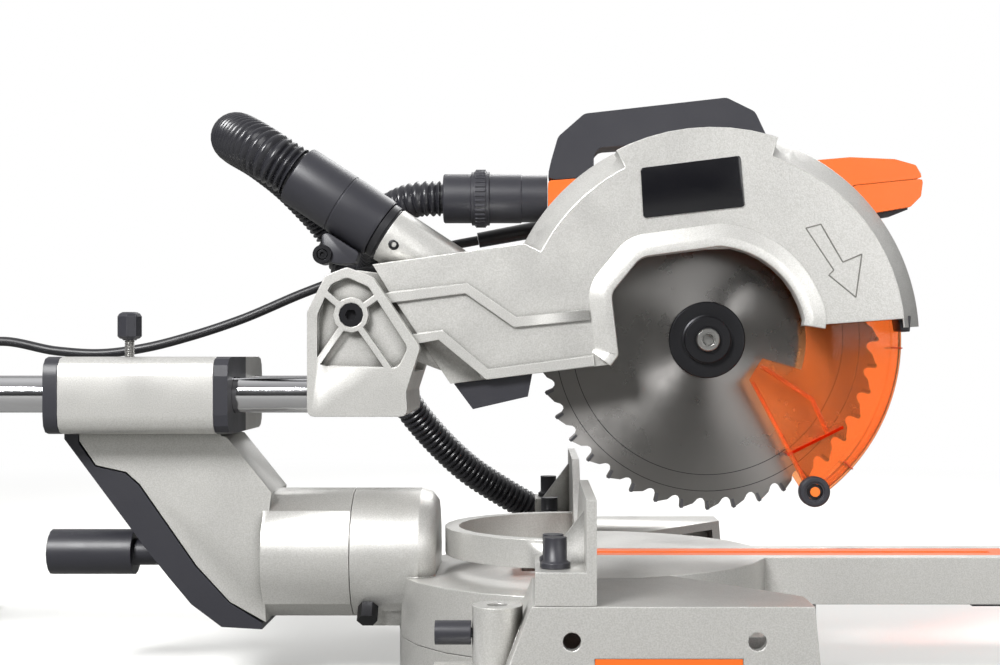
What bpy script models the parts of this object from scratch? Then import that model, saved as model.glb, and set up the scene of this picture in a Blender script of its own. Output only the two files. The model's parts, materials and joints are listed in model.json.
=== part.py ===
# Sliding compound mitre saw, modelled as separate pieces in metres, +Z up.
# +X points to the operator, the blade lies in the plane Y = 0, the bench is Z = 0.
# Every length is a named constant; X is counted from the turntable axis until
# the whole saw is shifted so that its box is centred on the origin.
import math

import bmesh
import bpy
import numpy as np
from mathutils import Vector

# General fits
GAP = 0.0003                    # between neighbouring solids
RUNNING = 0.0005                # round parts that turn or slide in bores
OVERRUN = 0.004                 # how far a cutter passes its part
ROUND_STEPS = 16
FINE_STEPS = 24
HOLE_STEPS = 12

# Base
TABLE_TOP = 0.092
FOOT_HEIGHT = 0.006
FOOT_RADIUS = 0.016
BASE_HALF_WIDTH = 0.250
SEAM_Z = 0.035
REAR_DROP = 0.013
WING_TOP_REAR = -0.037
WING_TOP_FRONT = 0.128
WING_FOOT_REAR = -0.070
WING_FOOT_FRONT = 0.136
WING_WALL = 0.007
WING_HOLE_RADIUS = 0.0055
WING_HOLE_SPACING = 0.108
WING_HOLE_DROP = 0.0203
WING_HOLE_SHIFT = 0.005
DECK_TOP = 0.040
DECK_REAR = -0.100
DECK_INNER = 0.150
SECTOR_REACH = 0.036
SECTOR_TOP = 0.056
MITRE_LIMIT = 50.0
MITRE_CLEARANCE = 0.004
POST_RADIUS = 0.0155
POST_BORE = 0.0065
POST_X = -0.058
POST_INSET = 0.045
POST_TOP_DROP = 0.006
GRIP_LENGTH = 0.086
GRIP_HEIGHT = 0.0555
GRIP_DEPTH = 0.016
GRIP_X = 0.043
SCALE_WIDTH = 0.014
SCALE_THICKNESS = 0.0012
SCALE_HALF_ANGLE = 54.0
PIVOT_BOLT_RADIUS = 0.008
PIVOT_BOLT_HEAD_RADIUS = 0.015
PIVOT_BOLT_HEAD = 0.008
FLOOR_THICKNESS = 0.010

# Fence
FENCE_FACE_X = 0.001
FENCE_WALL = 0.006
FENCE_HEIGHT = 0.062
FENCE_GAP_HALF = 0.026
FENCE_LOW_HALF = 0.105
FENCE_TOE = 0.010
BRIDGE_RADIUS = 0.097
BRIDGE_WALL = 0.010
BRIDGE_HEIGHT = 0.020
FENCE_BLOCK_DEPTH = 0.036
FENCE_BLOCK_WIDTH = 0.044
GUSSET_THICKNESS = 0.006
BOLT_CAP_RADIUS = 0.0070
BOLT_CAP_HEIGHT = 0.018
BOLT_INSET = 0.020

# Clamp knobs
KNOB_LENGTH = 0.022
KNOB_RADIUS = 0.0075
KNOB_STEM_RADIUS = 0.003
CLAMP_KNOB_DROP = 0.034

# Turntable
TURNTABLE_RADIUS = 0.136
TURNTABLE_PLATE = 0.012
TURNTABLE_WALL = 0.009
TURNTABLE_HUB = 0.020
MITRE_ARM_HALF_WIDTH = 0.034
MITRE_ARM_END = 0.338
MITRE_ARM_HEIGHT = 0.034
KERF_SLOT_HALF = 0.012
KERF_PLATE_THICKNESS = 0.0030
KERF_SLIT_HALF = 0.0042
KERF_REAR = -0.052
KERF_END = 0.318
KERF_POCKET_HALF = 0.020
KERF_POCKET_DEPTH = 0.0034

# Bevel joint at the rear of the turntable
BEVEL_RADIUS = 0.0478
BEVEL_SEAM_X = -0.168
BEVEL_FRONT_X = -0.107
BEVEL_REAR_X = -0.232
BEVEL_SPIGOT_RADIUS = 0.022
BEVEL_SPIGOT_LENGTH = 0.020
STOP_BOLT_RADIUS = 0.0075
STOP_BOLT_LENGTH = 0.012
STOP_BOLT_ANGLE = 228.0
MITRE_KNOB_RADIUS = 0.022
MITRE_KNOB_LENGTH = 0.060
MITRE_KNOB_STEM = 0.0075
MITRE_KNOB_STEM_LENGTH = 0.030
DETENT_LENGTH = 0.062
DETENT_WIDTH = 0.022
DETENT_THICKNESS = 0.005

# Slide housing and bevel arm
RAIL_RADIUS = 0.0128
RAIL_SPACING = 0.080
RAIL_RISE = 0.118
HOUSING_REAR_X = -0.381
HOUSING_LENGTH = 0.130
HOUSING_HALF = 0.0275
HOUSING_CAP = 0.010
ARM_HALF_WIDTH = 0.034
ARM_REACH = 0.208
SLIDE_FORWARD = 0.240
SLIDE_KNOB_X = -0.327
SLIDE_KNOB_RADIUS = 0.0085
SLIDE_KNOB_HEIGHT = 0.016
SLIDE_KNOB_COLLAR = 0.0065
SLIDE_KNOB_STEM = 0.0036
SLIDE_KNOB_STEM_LENGTH = 0.013
LEVER_RADIUS = 0.0168
LEVER_LENGTH = 0.062
LEVER_STEM_RADIUS = 0.0100
LEVER_STEM_LENGTH = 0.034
LEVER_ROOT_SHARE = 0.6298
END_PLATE_THICKNESS = 0.014
END_PLATE_MARGIN = 0.008

# Carriage bracket and the head's pivot
PIVOT_X = -0.165
PIVOT_RISE = 0.175
EAR_OUTER = 0.062
EAR_INNER = 0.047
EAR_POCKET = 0.006
EAR_RIM = 0.0055
EAR_HUB_RADIUS = 0.0125
EAR_SCALE = 0.072
PIVOT_SHAFT_RADIUS = 0.0085
BRACKET_FLOOR = 0.032
LOCK_PIN_RADIUS = 0.0035
LOCK_PIN_LENGTH = 0.030
LOCK_PIN_HEAD = 0.008
SPRING_RADIUS = 0.0155
SPRING_WIRE = 0.0018
SPRING_TURNS = 4
SPRING_PITCH = 0.0062

# Head casting
BLADE_X = 0.093
BLADE_RISE = 0.158
GUARD_RADIUS = 0.153
GUARD_FACE_RADIUS = 0.1385
GUARD_NEAR = 0.041
GUARD_CHAMFER = 0.019
GUARD_FAR = 0.026
GUARD_WALL = 0.007
ARM_RIB_WIDTH = 0.0075
ARM_RIB_HEIGHT = 0.0022
HUB_RADIUS = 0.028
WINDOW_RADIUS = 0.067
DUCT_RADIUS = 0.0215
DUCT_WALL = 0.0025
DUCT_LENGTH = 0.062

# Blade and spindle
BLADE_RADIUS = 0.127
BLADE_TEETH = 40
BLADE_GULLET = 0.006
BLADE_BODY = 0.0020
BLADE_BORE = 0.0150
FLANGE_RADIUS = 0.0285
FLANGE_THICKNESS = 0.004
FLANGE_HUB_RADIUS = 0.0174
FLANGE_HUB_HEIGHT = 0.0045
BLADE_BOLT_RADIUS = 0.0086
BLADE_BOLT_HEIGHT = 0.004
SOCKET_RADIUS = 0.0042
SOCKET_DEPTH = 0.005
SPINDLE_RADIUS = 0.010
SPINDLE_END = 0.064
GEAR_TEETH = 28
PINION_TEETH = 7
GEAR_MODULE = 0.00193
GEAR_WIDTH = 0.010
GEAR_Y = 0.044
BACKLASH_SHARE = 0.40

# Gear case and motor
CASE_RADIUS = 0.041
CASE_WALL = 0.004
CASE_FAR = 0.070
NOSE_RADIUS = 0.018
NOSE_NEAR = 0.006
PLATE_RADIUS = 0.075
MOTOR_ANGLE = 128.0
MOTOR_RADIUS = 0.046
MOTOR_WALL = 0.004
MOTOR_END = 0.212
ARMATURE_RADIUS = 0.031
ARMATURE_START = 0.092
ARMATURE_END = 0.182
ARMATURE_SHAFT = 0.005

# Lower guard
LOWER_RADIUS = 0.1426
LOWER_HALF = 0.0165
LOWER_SHEET = 0.0022
LOWER_INNER = 0.0715
LOWER_CORNER = 0.042
LOWER_HUB = 0.028
LOWER_LEAD_ANGLE = -57.0
LOWER_CORNER_ANGLE = -46.0
LOWER_STEP_ANGLE = -18.0
LOWER_TRAIL_ANGLE = 97.0
GUARD_EDGE_TURN = 0.3
ROLLER_RADIUS = 0.0112
ROLLER_WIDTH = 0.009
ROLLER_REACH = 0.1350
ROLLER_ANGLE = -55.5
ROLLER_PIN_RADIUS = 0.003

# Handles
CARRY_SCALE = 0.168
CARRY_X = -0.026
CARRY_Z = 0.279
CARRY_NEAR = 0.0263
CARRY_FAR = 0.060
HANDLE_NEAR = 0.0263
HANDLE_FAR = 0.060
HANDLE_REACH = 0.2618
TRIGGER_NEAR = 0.0370
TRIGGER_FAR = 0.0490
TRIGGER_RISE = 0.0040
LOCK_BUTTON_RADIUS = 0.0050
LOCK_BUTTON_LENGTH = 0.0160
LOCK_BUTTON_INSET = 0.0080
LOCK_BUTTON_Y = 0.0490

# Dust chute, cuffs and hoses
CHUTE_NEAR = 0.036
CHUTE_FAR = 0.018
CUFF_RADIUS = 0.0232
CUFF_LENGTH = 0.074
CUFF_BAND = 0.008
CUFF_WALL = 0.0025
DUST_HOSE_RADIUS = 0.0198
DUST_HOSE_ROOT = 0.0172
DUST_HOSE_BORE = 0.0150
DUST_HOSE_PITCH = 0.0068
PORT_HOSE_RADIUS = 0.0138
PORT_HOSE_ROOT = 0.0116
PORT_HOSE_BORE = 0.0096
PORT_HOSE_PITCH = 0.0066
OUTLET_HOSE_PITCH = 0.0078
COUPLING_RADIUS = 0.0190
COUPLING_RING_RADIUS = 0.0225
COUPLING_RING_LENGTH = 0.012
COUPLING_LENGTH = 0.084
JUNCTION_LENGTH = 0.030
CONNECTOR_RADIUS = 0.0170
CONNECTOR_LENGTH = 0.050

# Cord
CORD_RADIUS = 0.0038
CORD_COIL_RADIUS = 0.045
CORD_TURNS = 6
CORD_LAYERS = 2
RELIEF_LENGTH = 0.060
RELIEF_RADIUS = 0.0068
PLUG_BODY = 0.030
PLUG_PIN_RADIUS = 0.0024
PLUG_PIN_LENGTH = 0.019
PLUG_PIN_SPACING = 0.019

# Places worked out from the sizes above
POST_Y = BASE_HALF_WIDTH - POST_INSET
SECTOR_RADIUS = TURNTABLE_RADIUS + SECTOR_REACH
LEVER_ROOT_X = BEVEL_SEAM_X - LEVER_ROOT_SHARE * ARM_REACH
BLADE_AXIS = Vector((BLADE_X, 0.0, TABLE_TOP + BLADE_RISE))
PIVOT_AXIS = Vector((PIVOT_X, 0.0, TABLE_TOP + PIVOT_RISE))
BEVEL_AXIS = Vector((BEVEL_SEAM_X, 0.0, TABLE_TOP))
RAIL_Z = TABLE_TOP + RAIL_RISE
RAIL_Y = RAIL_SPACING / 2
HOUSING_FRONT_X = HOUSING_REAR_X + HOUSING_LENGTH
BRACKET_REAR_X = PIVOT_X - 0.43 * EAR_SCALE
BRACKET_FRONT_X = PIVOT_X + 0.555 * EAR_SCALE
RAIL_REAR_X = HOUSING_REAR_X - SLIDE_FORWARD - END_PLATE_THICKNESS - GAP
GEAR_DISTANCE = GEAR_MODULE * (GEAR_TEETH + PINION_TEETH) / 2
MOTOR_AXIS = BLADE_AXIS + GEAR_DISTANCE * Vector(
    (math.cos(math.radians(MOTOR_ANGLE)), 0.0, math.sin(math.radians(MOTOR_ANGLE)))
)
MITRE_KNOB_END = MITRE_ARM_END + MITRE_KNOB_STEM_LENGTH + MITRE_KNOB_LENGTH
REACH_MIDDLE = (MITRE_KNOB_END + RAIL_REAR_X - END_PLATE_THICKNESS) / 2

AXIS_X = Vector((1.0, 0.0, 0.0))
AXIS_Y = Vector((0.0, 1.0, 0.0))
AXIS_Z = Vector((0.0, 0.0, 1.0))

# Routes of the hoses and the cord, points chosen by hand along their run
CUFF_DIRECTION = Vector((-0.836, 0.0, 0.548)).normalized()
CUFF_FOOT = Vector((-0.1504, 0.0, 0.3329))
CUFF_TOP = CUFF_FOOT + CUFF_LENGTH * CUFF_DIRECTION
JUNCTION = Vector((-0.181, 0.170, 0.286))
JUNCTION_TO_DUST = Vector((-0.35, 0.25, 0.90)).normalized()
JUNCTION_TO_PORT = Vector((0.25, -0.72, 0.65)).normalized()
JUNCTION_TO_OUTLET = Vector((0.194, 0.554, -0.810)).normalized()
COUPLING_LEFT = Vector((-0.1058, 0.047, 0.3603))
COUPLING_RIGHT_X = -0.0255
PORT_RADIUS = 0.0070
PORT_X = 0.0050
PORT_Z = 0.3520
DUST_ROUTE = [
    (-0.2620, 0.033, 0.4050),
    (-0.2700, 0.084, 0.4085),
    (-0.2590, 0.122, 0.4020),
    (-0.2360, 0.158, 0.3820),
]
PORT_ROUTE = [(-0.1560, 0.072, 0.3490)]
OUTLET_ROUTE = [
    (-0.1514, 0.225, 0.1986),
    (-0.1240, 0.246, 0.1617),
    (-0.0948, 0.262, 0.1330),
    (-0.0629, 0.275, 0.1108),
    (-0.0303, 0.285, 0.0910),
    (0.0030, 0.292, 0.0680),
    (0.0350, 0.297, 0.0430),
    (0.0700, 0.298, 0.0225),
]
CONNECTOR_START = Vector((0.118, 0.298, CONNECTOR_RADIUS))
RELIEF_START = Vector((-0.022, 0.100, 0.343))
RELIEF_DIRECTION = Vector((-0.983, 0.0, -0.183)).normalized()
CORD_ROUTE = [
    (-0.1180, 0.101, 0.3235),
    (-0.1500, 0.103, 0.3140),
    (-0.1900, 0.106, 0.3020),
    (-0.2230, 0.108, 0.2900),
    (-0.2770, 0.110, 0.2675),
    (-0.3180, 0.110, 0.2540),
    (-0.3530, 0.110, 0.2450),
    (-0.3920, 0.110, 0.2400),
    (-0.4260, 0.110, 0.2420),
    (-0.4740, 0.110, 0.2500),
    (-0.5080, 0.111, 0.2440),
    (-0.5340, 0.113, 0.2180),
    (-0.5480, 0.116, 0.1750),
    (-0.5540, 0.119, 0.1250),
]
LEAD_IN_START = Vector((-0.5560, 0.124, 0.0750))
LEAD_IN_ROUTE = [
    (-0.5570, 0.134, 0.0340),
    (-0.5575, 0.152, 0.0085),
]
COIL_CENTRE = Vector((-0.6156, 0.195, 0.0))

# Outlines as shares of the size that each is scaled by, x then z
EAR_SHARES = [
    (-0.43, -1.00), (-0.43, 0.03), (-0.25, 0.39), (-0.04, 0.47),
    (0.21, 0.375), (0.68, -0.32), (0.54, -0.75), (0.555, -1.00),
]
ARM_LEFT_SHARES = [
    (-1.601, 0.353), (-1.530, 0.235), (-1.235, -0.209), (-0.477, -0.118),
    (-0.445, -0.075), (-0.479, 0.216), (-0.340, 0.386), (-0.030, 0.425),
]
WEB_SHARES = [
    (-1.830, 0.180), (-1.700, 0.330), (-1.450, 0.300), (-1.250, 0.000),
    (-1.180, -0.180), (-1.300, -0.140), (-1.560, -0.040), (-1.780, -0.030),
]
EAR_POCKET_SHARES = [
    (-0.33, -0.50), (-0.33, 0.00), (-0.20, 0.30), (-0.04, 0.37), (0.17, 0.28), (0.56, -0.32), (0.46, -0.52),
]
UPPER_RIB_SHARES = [
    (-1.560, 0.190), (-1.160, 0.240), (-0.930, 0.080), (-0.580, 0.115),
]
LOWER_RIB_SHARES = [
    (-1.440, -0.005), (-1.280, 0.020), (-1.060, -0.165), (-0.560, -0.100),
]
DUCT_SHARES = [
    (-1.180, 0.270), (-0.900, 0.330), (-0.860, 0.100), (-0.900, -0.070),
    (-1.120, -0.100), (-1.320, 0.100),
]
CARRY_SHARES = [
    (0.000, 0.556), (0.019, 0.643), (0.051, 0.754), (0.171, 0.859),
    (0.818, 0.932), (0.948, 0.868), (1.007, 0.743), (1.040, 0.640),
    (0.845, 0.626), (0.830, 0.710), (0.780, 0.742), (0.240, 0.706),
    (0.214, 0.670), (0.214, 0.573),
]
FRONT_HANDLE_SHARES = [
    (-0.09549, 1.34454), (-0.09549, 1.42093), (0.11459, 1.43812), (0.63025, 1.47632),
    (0.78686, 1.48969), (0.91673, 1.48396), (0.97785, 1.46677), (1.00000, 1.42857),
    (0.79450, 1.40756), (0.76394, 1.31016), (0.57296, 1.26050), (-0.01910, 1.26050),
]
HANDLE_GRIP_SHARES = [
    (0.79603, 1.40642), (1.00000, 1.42704), (0.99312, 1.37510), (0.96257, 1.34454),
    (0.85943, 1.32735), (0.77158, 1.31207),
]
TRIGGER_SHARES = [
    (0.86707, 1.37128), (0.95875, 1.38273), (0.96448, 1.34072), (0.91673, 1.32162),
    (0.87089, 1.31398),
]
BEVEL_ARM_SHARES = [
    (-0.947, 0.442), (-0.4600, 0.442), (-0.4550, 0.425), (-0.4350, 0.420), (-0.279, 0.226), (-0.308, 0.000),
    (-0.298, -0.225), (-0.423, -0.154), (-0.538, -0.029), (-0.736, 0.255),
    (-0.784, 0.298), (-0.889, 0.322), (-0.947, 0.406),
]
COVER_SHARES = [
    (-1.000, 0.431), (-1.000, 0.413), (-0.707, 0.019), (-0.630, -0.077),
    (-0.558, -0.163), (-0.452, -0.242), (-0.311, -0.250), (-0.311, -0.229),
    (-0.426, -0.158), (-0.543, -0.032), (-0.740, 0.250), (-0.788, 0.293),
    (-0.894, 0.317), (-0.951, 0.399), (-0.951, 0.431),
]

parts = {}


def paint(name, colour, roughness, metallic=0.0, alpha=1.0):
    material = bpy.data.materials.new(name)
    material.use_nodes = True
    shader = material.node_tree.nodes["Principled BSDF"]
    shader.inputs["Base Color"].default_value = (*colour, 1.0)
    shader.inputs["Roughness"].default_value = roughness
    shader.inputs["Metallic"].default_value = metallic
    shader.inputs["Alpha"].default_value = alpha
    return material


def scaled(shares, size, centre=(0.0, 0.0)):
    return [(centre[0] + size * u, centre[1] + size * v) for u, v in shares]


def arc(centre, radius, start, end, steps):
    angles = np.radians(np.linspace(start, end, steps + 1))
    return [(centre[0] + radius * math.cos(a), centre[1] + radius * math.sin(a)) for a in angles]


def rounded(points, radius, steps=3):
    """The same outline with each corner turned into an arc no larger than its sides allow."""
    result = []
    count = len(points)
    for i in range(count):
        before = Vector(points[i - 1])
        here = Vector(points[i])
        after = Vector(points[(i + 1) % count])
        back = before - here
        ahead = after - here
        angle = back.angle(ahead)
        reach = radius / math.tan(angle / 2)
        limit = 0.45 * min(back.length, ahead.length)
        reach = min(reach, limit)
        first = here + reach * back.normalized()
        last = here + reach * ahead.normalized()
        for k in range(steps + 1):
            t = k / steps
            point = (1 - t) ** 2 * first + 2 * t * (1 - t) * here + t**2 * last
            result.append((point.x, point.y))
    return result


def prism(outline, low, high, axis="Y"):
    """A solid of one outline, drawn out along an axis from low to high."""
    bm = bmesh.new()
    corners = []
    for u, v in outline:
        place = {"X": (low, u, v), "Y": (u, low, v), "Z": (u, v, low)}[axis]
        corners.append(bm.verts.new(place))
    face = bm.faces.new(corners)
    out = bmesh.ops.extrude_face_region(bm, geom=[face])
    moved = [e for e in out["geom"] if isinstance(e, bmesh.types.BMVert)]
    way = {"X": AXIS_X, "Y": AXIS_Y, "Z": AXIS_Z}[axis]
    bmesh.ops.translate(bm, verts=moved, vec=(high - low) * way)
    bmesh.ops.recalc_face_normals(bm, faces=bm.faces)
    return bm


def block(low, high):
    return prism(
        [(low[0], low[1]), (high[0], low[1]), (high[0], high[1]), (low[0], high[1])],
        low[2],
        high[2],
        "Z",
    )


def turned(profile, centre, axis, steps=ROUND_STEPS, sweep=360.0, start=AXIS_X):
    """A profile of (radius, along) pairs, closed, turned about an axis through the centre."""
    axis = Vector(axis).normalized()
    centre = Vector(centre)
    side = start - start.dot(axis) * axis
    if side.length < 0.1:
        side = AXIS_Z - AXIS_Z.dot(axis) * axis
    side.normalize()
    bm = bmesh.new()
    verts = [bm.verts.new(centre + r * side + a * axis) for r, a in profile]
    full = abs(sweep) >= 360.0
    if full:
        on_axis = profile[0][0] == 0 and profile[-1][0] == 0
        edges = [bm.edges.new((verts[i - 1], verts[i])) for i in range(1 if on_axis else 0, len(verts))]
        geom = verts + edges
    else:
        face = bm.faces.new(verts)
        geom = [face] + verts + list(face.edges)
    bmesh.ops.spin(
        bm, geom=geom, cent=centre, axis=axis, angle=math.radians(sweep), steps=steps, use_merge=full
    )
    bmesh.ops.remove_doubles(bm, verts=bm.verts, dist=GAP / 10)
    bmesh.ops.dissolve_degenerate(bm, edges=bm.edges, dist=GAP / 10)
    bmesh.ops.recalc_face_normals(bm, faces=bm.faces)
    return bm


def rod(start, end, radius, steps=ROUND_STEPS, bore=0.0):
    start = Vector(start)
    end = Vector(end)
    length = (end - start).length
    profile = [(bore, 0.0), (radius, 0.0), (radius, length), (bore, length)]
    return turned(profile, start, end - start, steps)


def ball(centre, radius):
    bm = bmesh.new()
    bmesh.ops.create_uvsphere(bm, u_segments=12, v_segments=8, radius=radius)
    bmesh.ops.translate(bm, verts=bm.verts, vec=centre)
    return bm


def hidden(bm, name="cutter"):
    """A helper solid that cuts or joins another one and isn't part of the saw."""
    mesh = bpy.data.meshes.new(name)
    bm.to_mesh(mesh)
    bm.free()
    obj = bpy.data.objects.new(name, mesh)
    bpy.context.collection.objects.link(obj)
    obj.parent = parts["frame"]
    obj.hide_render = True
    obj.display_type = "WIRE"
    return obj


def piece(name, bm, material, origin=(0.0, 0.0, 0.0), sharp=30.0):
    origin = Vector(origin)
    bmesh.ops.translate(bm, verts=bm.verts, vec=-origin)
    mesh = bpy.data.meshes.new(name)
    bm.to_mesh(mesh)
    bm.free()
    mesh.materials.append(material)
    mesh.shade_smooth()
    mesh.set_sharp_from_angle(angle=math.radians(sharp))
    obj = bpy.data.objects.new(name, mesh)
    bpy.context.collection.objects.link(obj)
    obj.parent = parts["frame"]
    obj.location = origin
    parts[name] = obj
    return obj


def combine(obj, operation, bms):
    for bm in bms:
        modifier = obj.modifiers.new(operation.lower(), "BOOLEAN")
        modifier.operation = operation
        modifier.solver = "EXACT"
        modifier.object = hidden(bm)
    return obj


def join(obj, *bms):
    return combine(obj, "UNION", bms)


def cut(obj, *bms):
    return combine(obj, "DIFFERENCE", bms)


def smooth_route(points, step):
    """Points at an even step along a smooth curve through the given ones."""
    points = np.array([tuple(p) for p in points])
    chords = np.linalg.norm(np.diff(points, axis=0), axis=1)[:, None]
    slopes = np.diff(points, axis=0) / chords
    inner = (slopes[:-1] * chords[1:] + slopes[1:] * chords[:-1]) / (chords[:-1] + chords[1:])
    tangents = np.vstack([slopes[:1], inner, slopes[-1:]])
    dense = []
    for i, chord in enumerate(chords[:, 0]):
        for t in np.linspace(0.0, 1.0, 40, endpoint=False):
            dense.append(
                (2 * t**3 - 3 * t**2 + 1) * points[i]
                + (t**3 - 2 * t**2 + t) * chord * tangents[i]
                + (3 * t**2 - 2 * t**3) * points[i + 1]
                + (t**3 - t**2) * chord * tangents[i + 1]
            )
    dense.append(points[-1])
    dense = np.array(dense)
    along = np.concatenate([[0.0], np.cumsum(np.linalg.norm(np.diff(dense, axis=0), axis=1))])
    count = max(2, round(along[-1] / step))
    at = np.linspace(0.0, along[-1], count + 1)
    return np.stack([np.interp(at, along, dense[:, k]) for k in range(3)], axis=1), along[-1]


def straight_end(place, way, reach):
    """Points of a straight run along a route's end, the last of them at the place."""
    return [tuple(place + share * reach * way) for share in (1.0, 0.7, 0.0)]


def tube(name, points, radius, resolution, radii=None):
    """A round solid along a line of points, as a mesh."""
    curve = bpy.data.curves.new(name, "CURVE")
    curve.dimensions = "3D"
    curve.bevel_depth = radius
    curve.bevel_resolution = resolution
    curve.use_fill_caps = True
    spline = curve.splines.new("POLY")
    spline.points.add(len(points) - 1)
    for i, point in enumerate(points):
        spline.points[i].co = (*point, 1.0)
        spline.points[i].radius = 1.0 if radii is None else radii[i]
    guide = bpy.data.objects.new(name + "_line", curve)
    bpy.context.collection.objects.link(guide)
    bpy.context.view_layer.update()
    mesh = bpy.data.meshes.new_from_object(guide)
    bpy.data.objects.remove(guide, do_unlink=True)
    bm = bmesh.new()
    bm.from_mesh(mesh)
    bmesh.ops.remove_doubles(bm, verts=bm.verts, dist=GAP / 10)
    bmesh.ops.recalc_face_normals(bm, faces=bm.faces)
    return bm


def ribbed_hose(name, route, root, rib, bore, pitch, material):
    """A hose with raised ribs, plain for one diameter at each end, and its bore."""
    points, length = smooth_route(route, pitch / 2)
    plain = round(2 * rib / (pitch / 2))
    kept = []
    radii = []
    for i, point in enumerate(points):
        from_end = min(i, len(points) - 1 - i)
        if from_end < plain and from_end % 2:
            continue
        kept.append(point)
        radii.append(1.0 if from_end < plain or i % 2 else rib / root)
    hose = piece(name, tube(name, kept, root, 2, radii), material, PIVOT_AXIS, 20.0)
    inner, _ = smooth_route(route, 2 * pitch)
    first = Vector(points[0])
    last = Vector(points[-1])
    start = first + OVERRUN * (first - Vector(points[1])).normalized()
    end = last + OVERRUN * (last - Vector(points[-2])).normalized()
    cut(hose, tube(name + "_bore", [start, *inner[1:-1], end], bore, 1))
    ribs = sum(radius > 1.0 for radius in radii)
    print(f"{name} length {length:.3f} m, {ribs} ribs")
    return hose


def ring_sector(centre, outer, inner, start, end, steps):
    """The outline of a stretch of a flat ring."""
    return arc(centre, outer, start, end, steps) + arc(centre, inner, end, start, steps)


def add_base():
    silver = paint("base aluminium", (0.56, 0.56, 0.54), 0.45, 0.7)
    outline = [
        (WING_TOP_REAR, TABLE_TOP),
        (WING_TOP_FRONT, TABLE_TOP),
        (WING_FOOT_FRONT, FOOT_HEIGHT),
        (WING_FOOT_REAR, FOOT_HEIGHT),
    ]
    base = piece("base_casting", prism(outline, -BASE_HALF_WIDTH, BASE_HALF_WIDTH), silver)
    deck_low = (DECK_REAR, DECK_INNER, FOOT_HEIGHT)
    deck_high = (WING_TOP_REAR + OVERRUN, BASE_HALF_WIDTH, DECK_TOP)
    drum = rod((0, 0, FOOT_HEIGHT), (0, 0, SEAM_Z + WING_WALL), TURNTABLE_RADIUS - GAP, FINE_STEPS)
    sector = prism(
        ring_sector((0, 0), SECTOR_RADIUS, WING_TOP_FRONT / 2, -SCALE_HALF_ANGLE, SCALE_HALF_ANGLE, 12),
        FOOT_HEIGHT,
        SECTOR_TOP,
        "Z",
    )
    join(base, drum, sector)
    post_top = TABLE_TOP - POST_TOP_DROP
    for side in (-1, 1):
        deck = block(
            (deck_low[0], min(side * DECK_INNER, side * BASE_HALF_WIDTH), FOOT_HEIGHT),
            (deck_high[0], max(side * DECK_INNER, side * BASE_HALF_WIDTH), DECK_TOP),
        )
        post = rod(
            (POST_X, side * POST_Y, FOOT_HEIGHT + OVERRUN), (POST_X, side * POST_Y, post_top), POST_RADIUS, 16
        )
        join(base, deck, post)
    well = rod(
        (0, 0, SEAM_Z - GAP), (0, 0, TABLE_TOP + OVERRUN), TURNTABLE_RADIUS + 2 * RUNNING, FINE_STEPS
    )
    cut(base, well)
    turn = math.radians(MITRE_LIMIT)
    half = MITRE_ARM_HALF_WIDTH + MITRE_CLEARANCE
    for side in (-1, 1):
        corner = []
        for reach, across in ((0.0, half), (2 * BASE_HALF_WIDTH, half), (2 * BASE_HALF_WIDTH, -half)):
            corner.append(
                (
                    reach * math.cos(turn) - across * math.sin(turn),
                    side * (reach * math.sin(turn) + across * math.cos(turn)),
                )
            )
        corner.append((2 * BASE_HALF_WIDTH, 0.0))
        cut(base, prism(corner, SECTOR_TOP, TABLE_TOP + OVERRUN, "Z"))
    hollow = rod(
        (0, 0, -OVERRUN), (0, 0, SEAM_Z - FLOOR_THICKNESS), TURNTABLE_RADIUS - 2 * WING_WALL, FINE_STEPS
    )
    cut(base, hollow)
    inner = [
        (WING_TOP_REAR + WING_WALL, TABLE_TOP - WING_WALL),
        (WING_TOP_FRONT - WING_WALL, TABLE_TOP - WING_WALL),
        (WING_FOOT_FRONT - WING_WALL, -OVERRUN),
        (WING_FOOT_REAR + WING_WALL, -OVERRUN),
    ]
    for side in (-1, 1):
        near = side * (TURNTABLE_RADIUS + 2 * WING_WALL)
        far = side * (BASE_HALF_WIDTH - WING_WALL)
        cut(base, prism(inner, min(near, far), max(near, far)))
        middle = (WING_TOP_REAR + WING_TOP_FRONT) / 2 - WING_HOLE_SHIFT
        z = TABLE_TOP - WING_HOLE_DROP
        for x in (middle - WING_HOLE_SPACING / 2, middle + WING_HOLE_SPACING / 2):
            edge = side * BASE_HALF_WIDTH
            inside = (x, edge - side * 2 * WING_WALL, z)
            cut(base, rod(inside, (x, edge + side * OVERRUN, z), WING_HOLE_RADIUS, HOLE_STEPS))
        cut(
            base,
            rod(
                (POST_X, side * POST_Y, SEAM_Z), (POST_X, side * POST_Y, TABLE_TOP + OVERRUN), POST_BORE, HOLE_STEPS
            ),
        )
        grip_low = (GRIP_X - GRIP_LENGTH / 2 - GAP, 0, -OVERRUN)
        grip_high = (GRIP_X + GRIP_LENGTH / 2 + GAP, 0, FOOT_HEIGHT + GRIP_HEIGHT + GAP)
        inside = side * (BASE_HALF_WIDTH - GRIP_DEPTH - GAP)
        outside = side * (BASE_HALF_WIDTH + OVERRUN)
        cut(
            base,
            block(
                (grip_low[0], min(inside, outside), grip_low[2]),
                (grip_high[0], max(inside, outside), grip_high[2]),
            ),
        )
        clamp_z = post_top - CLAMP_KNOB_DROP / 2
        cut(
            base,
            rod(
                (POST_X - POST_RADIUS - OVERRUN, side * POST_Y, clamp_z),
                (POST_X, side * POST_Y, clamp_z),
                KNOB_STEM_RADIUS + GAP,
                HOLE_STEPS,
            ),
        )
    cut(base, rod((0, 0, 0), (0, 0, TABLE_TOP), PIVOT_BOLT_RADIUS + GAP, HOLE_STEPS))
    return base


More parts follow.
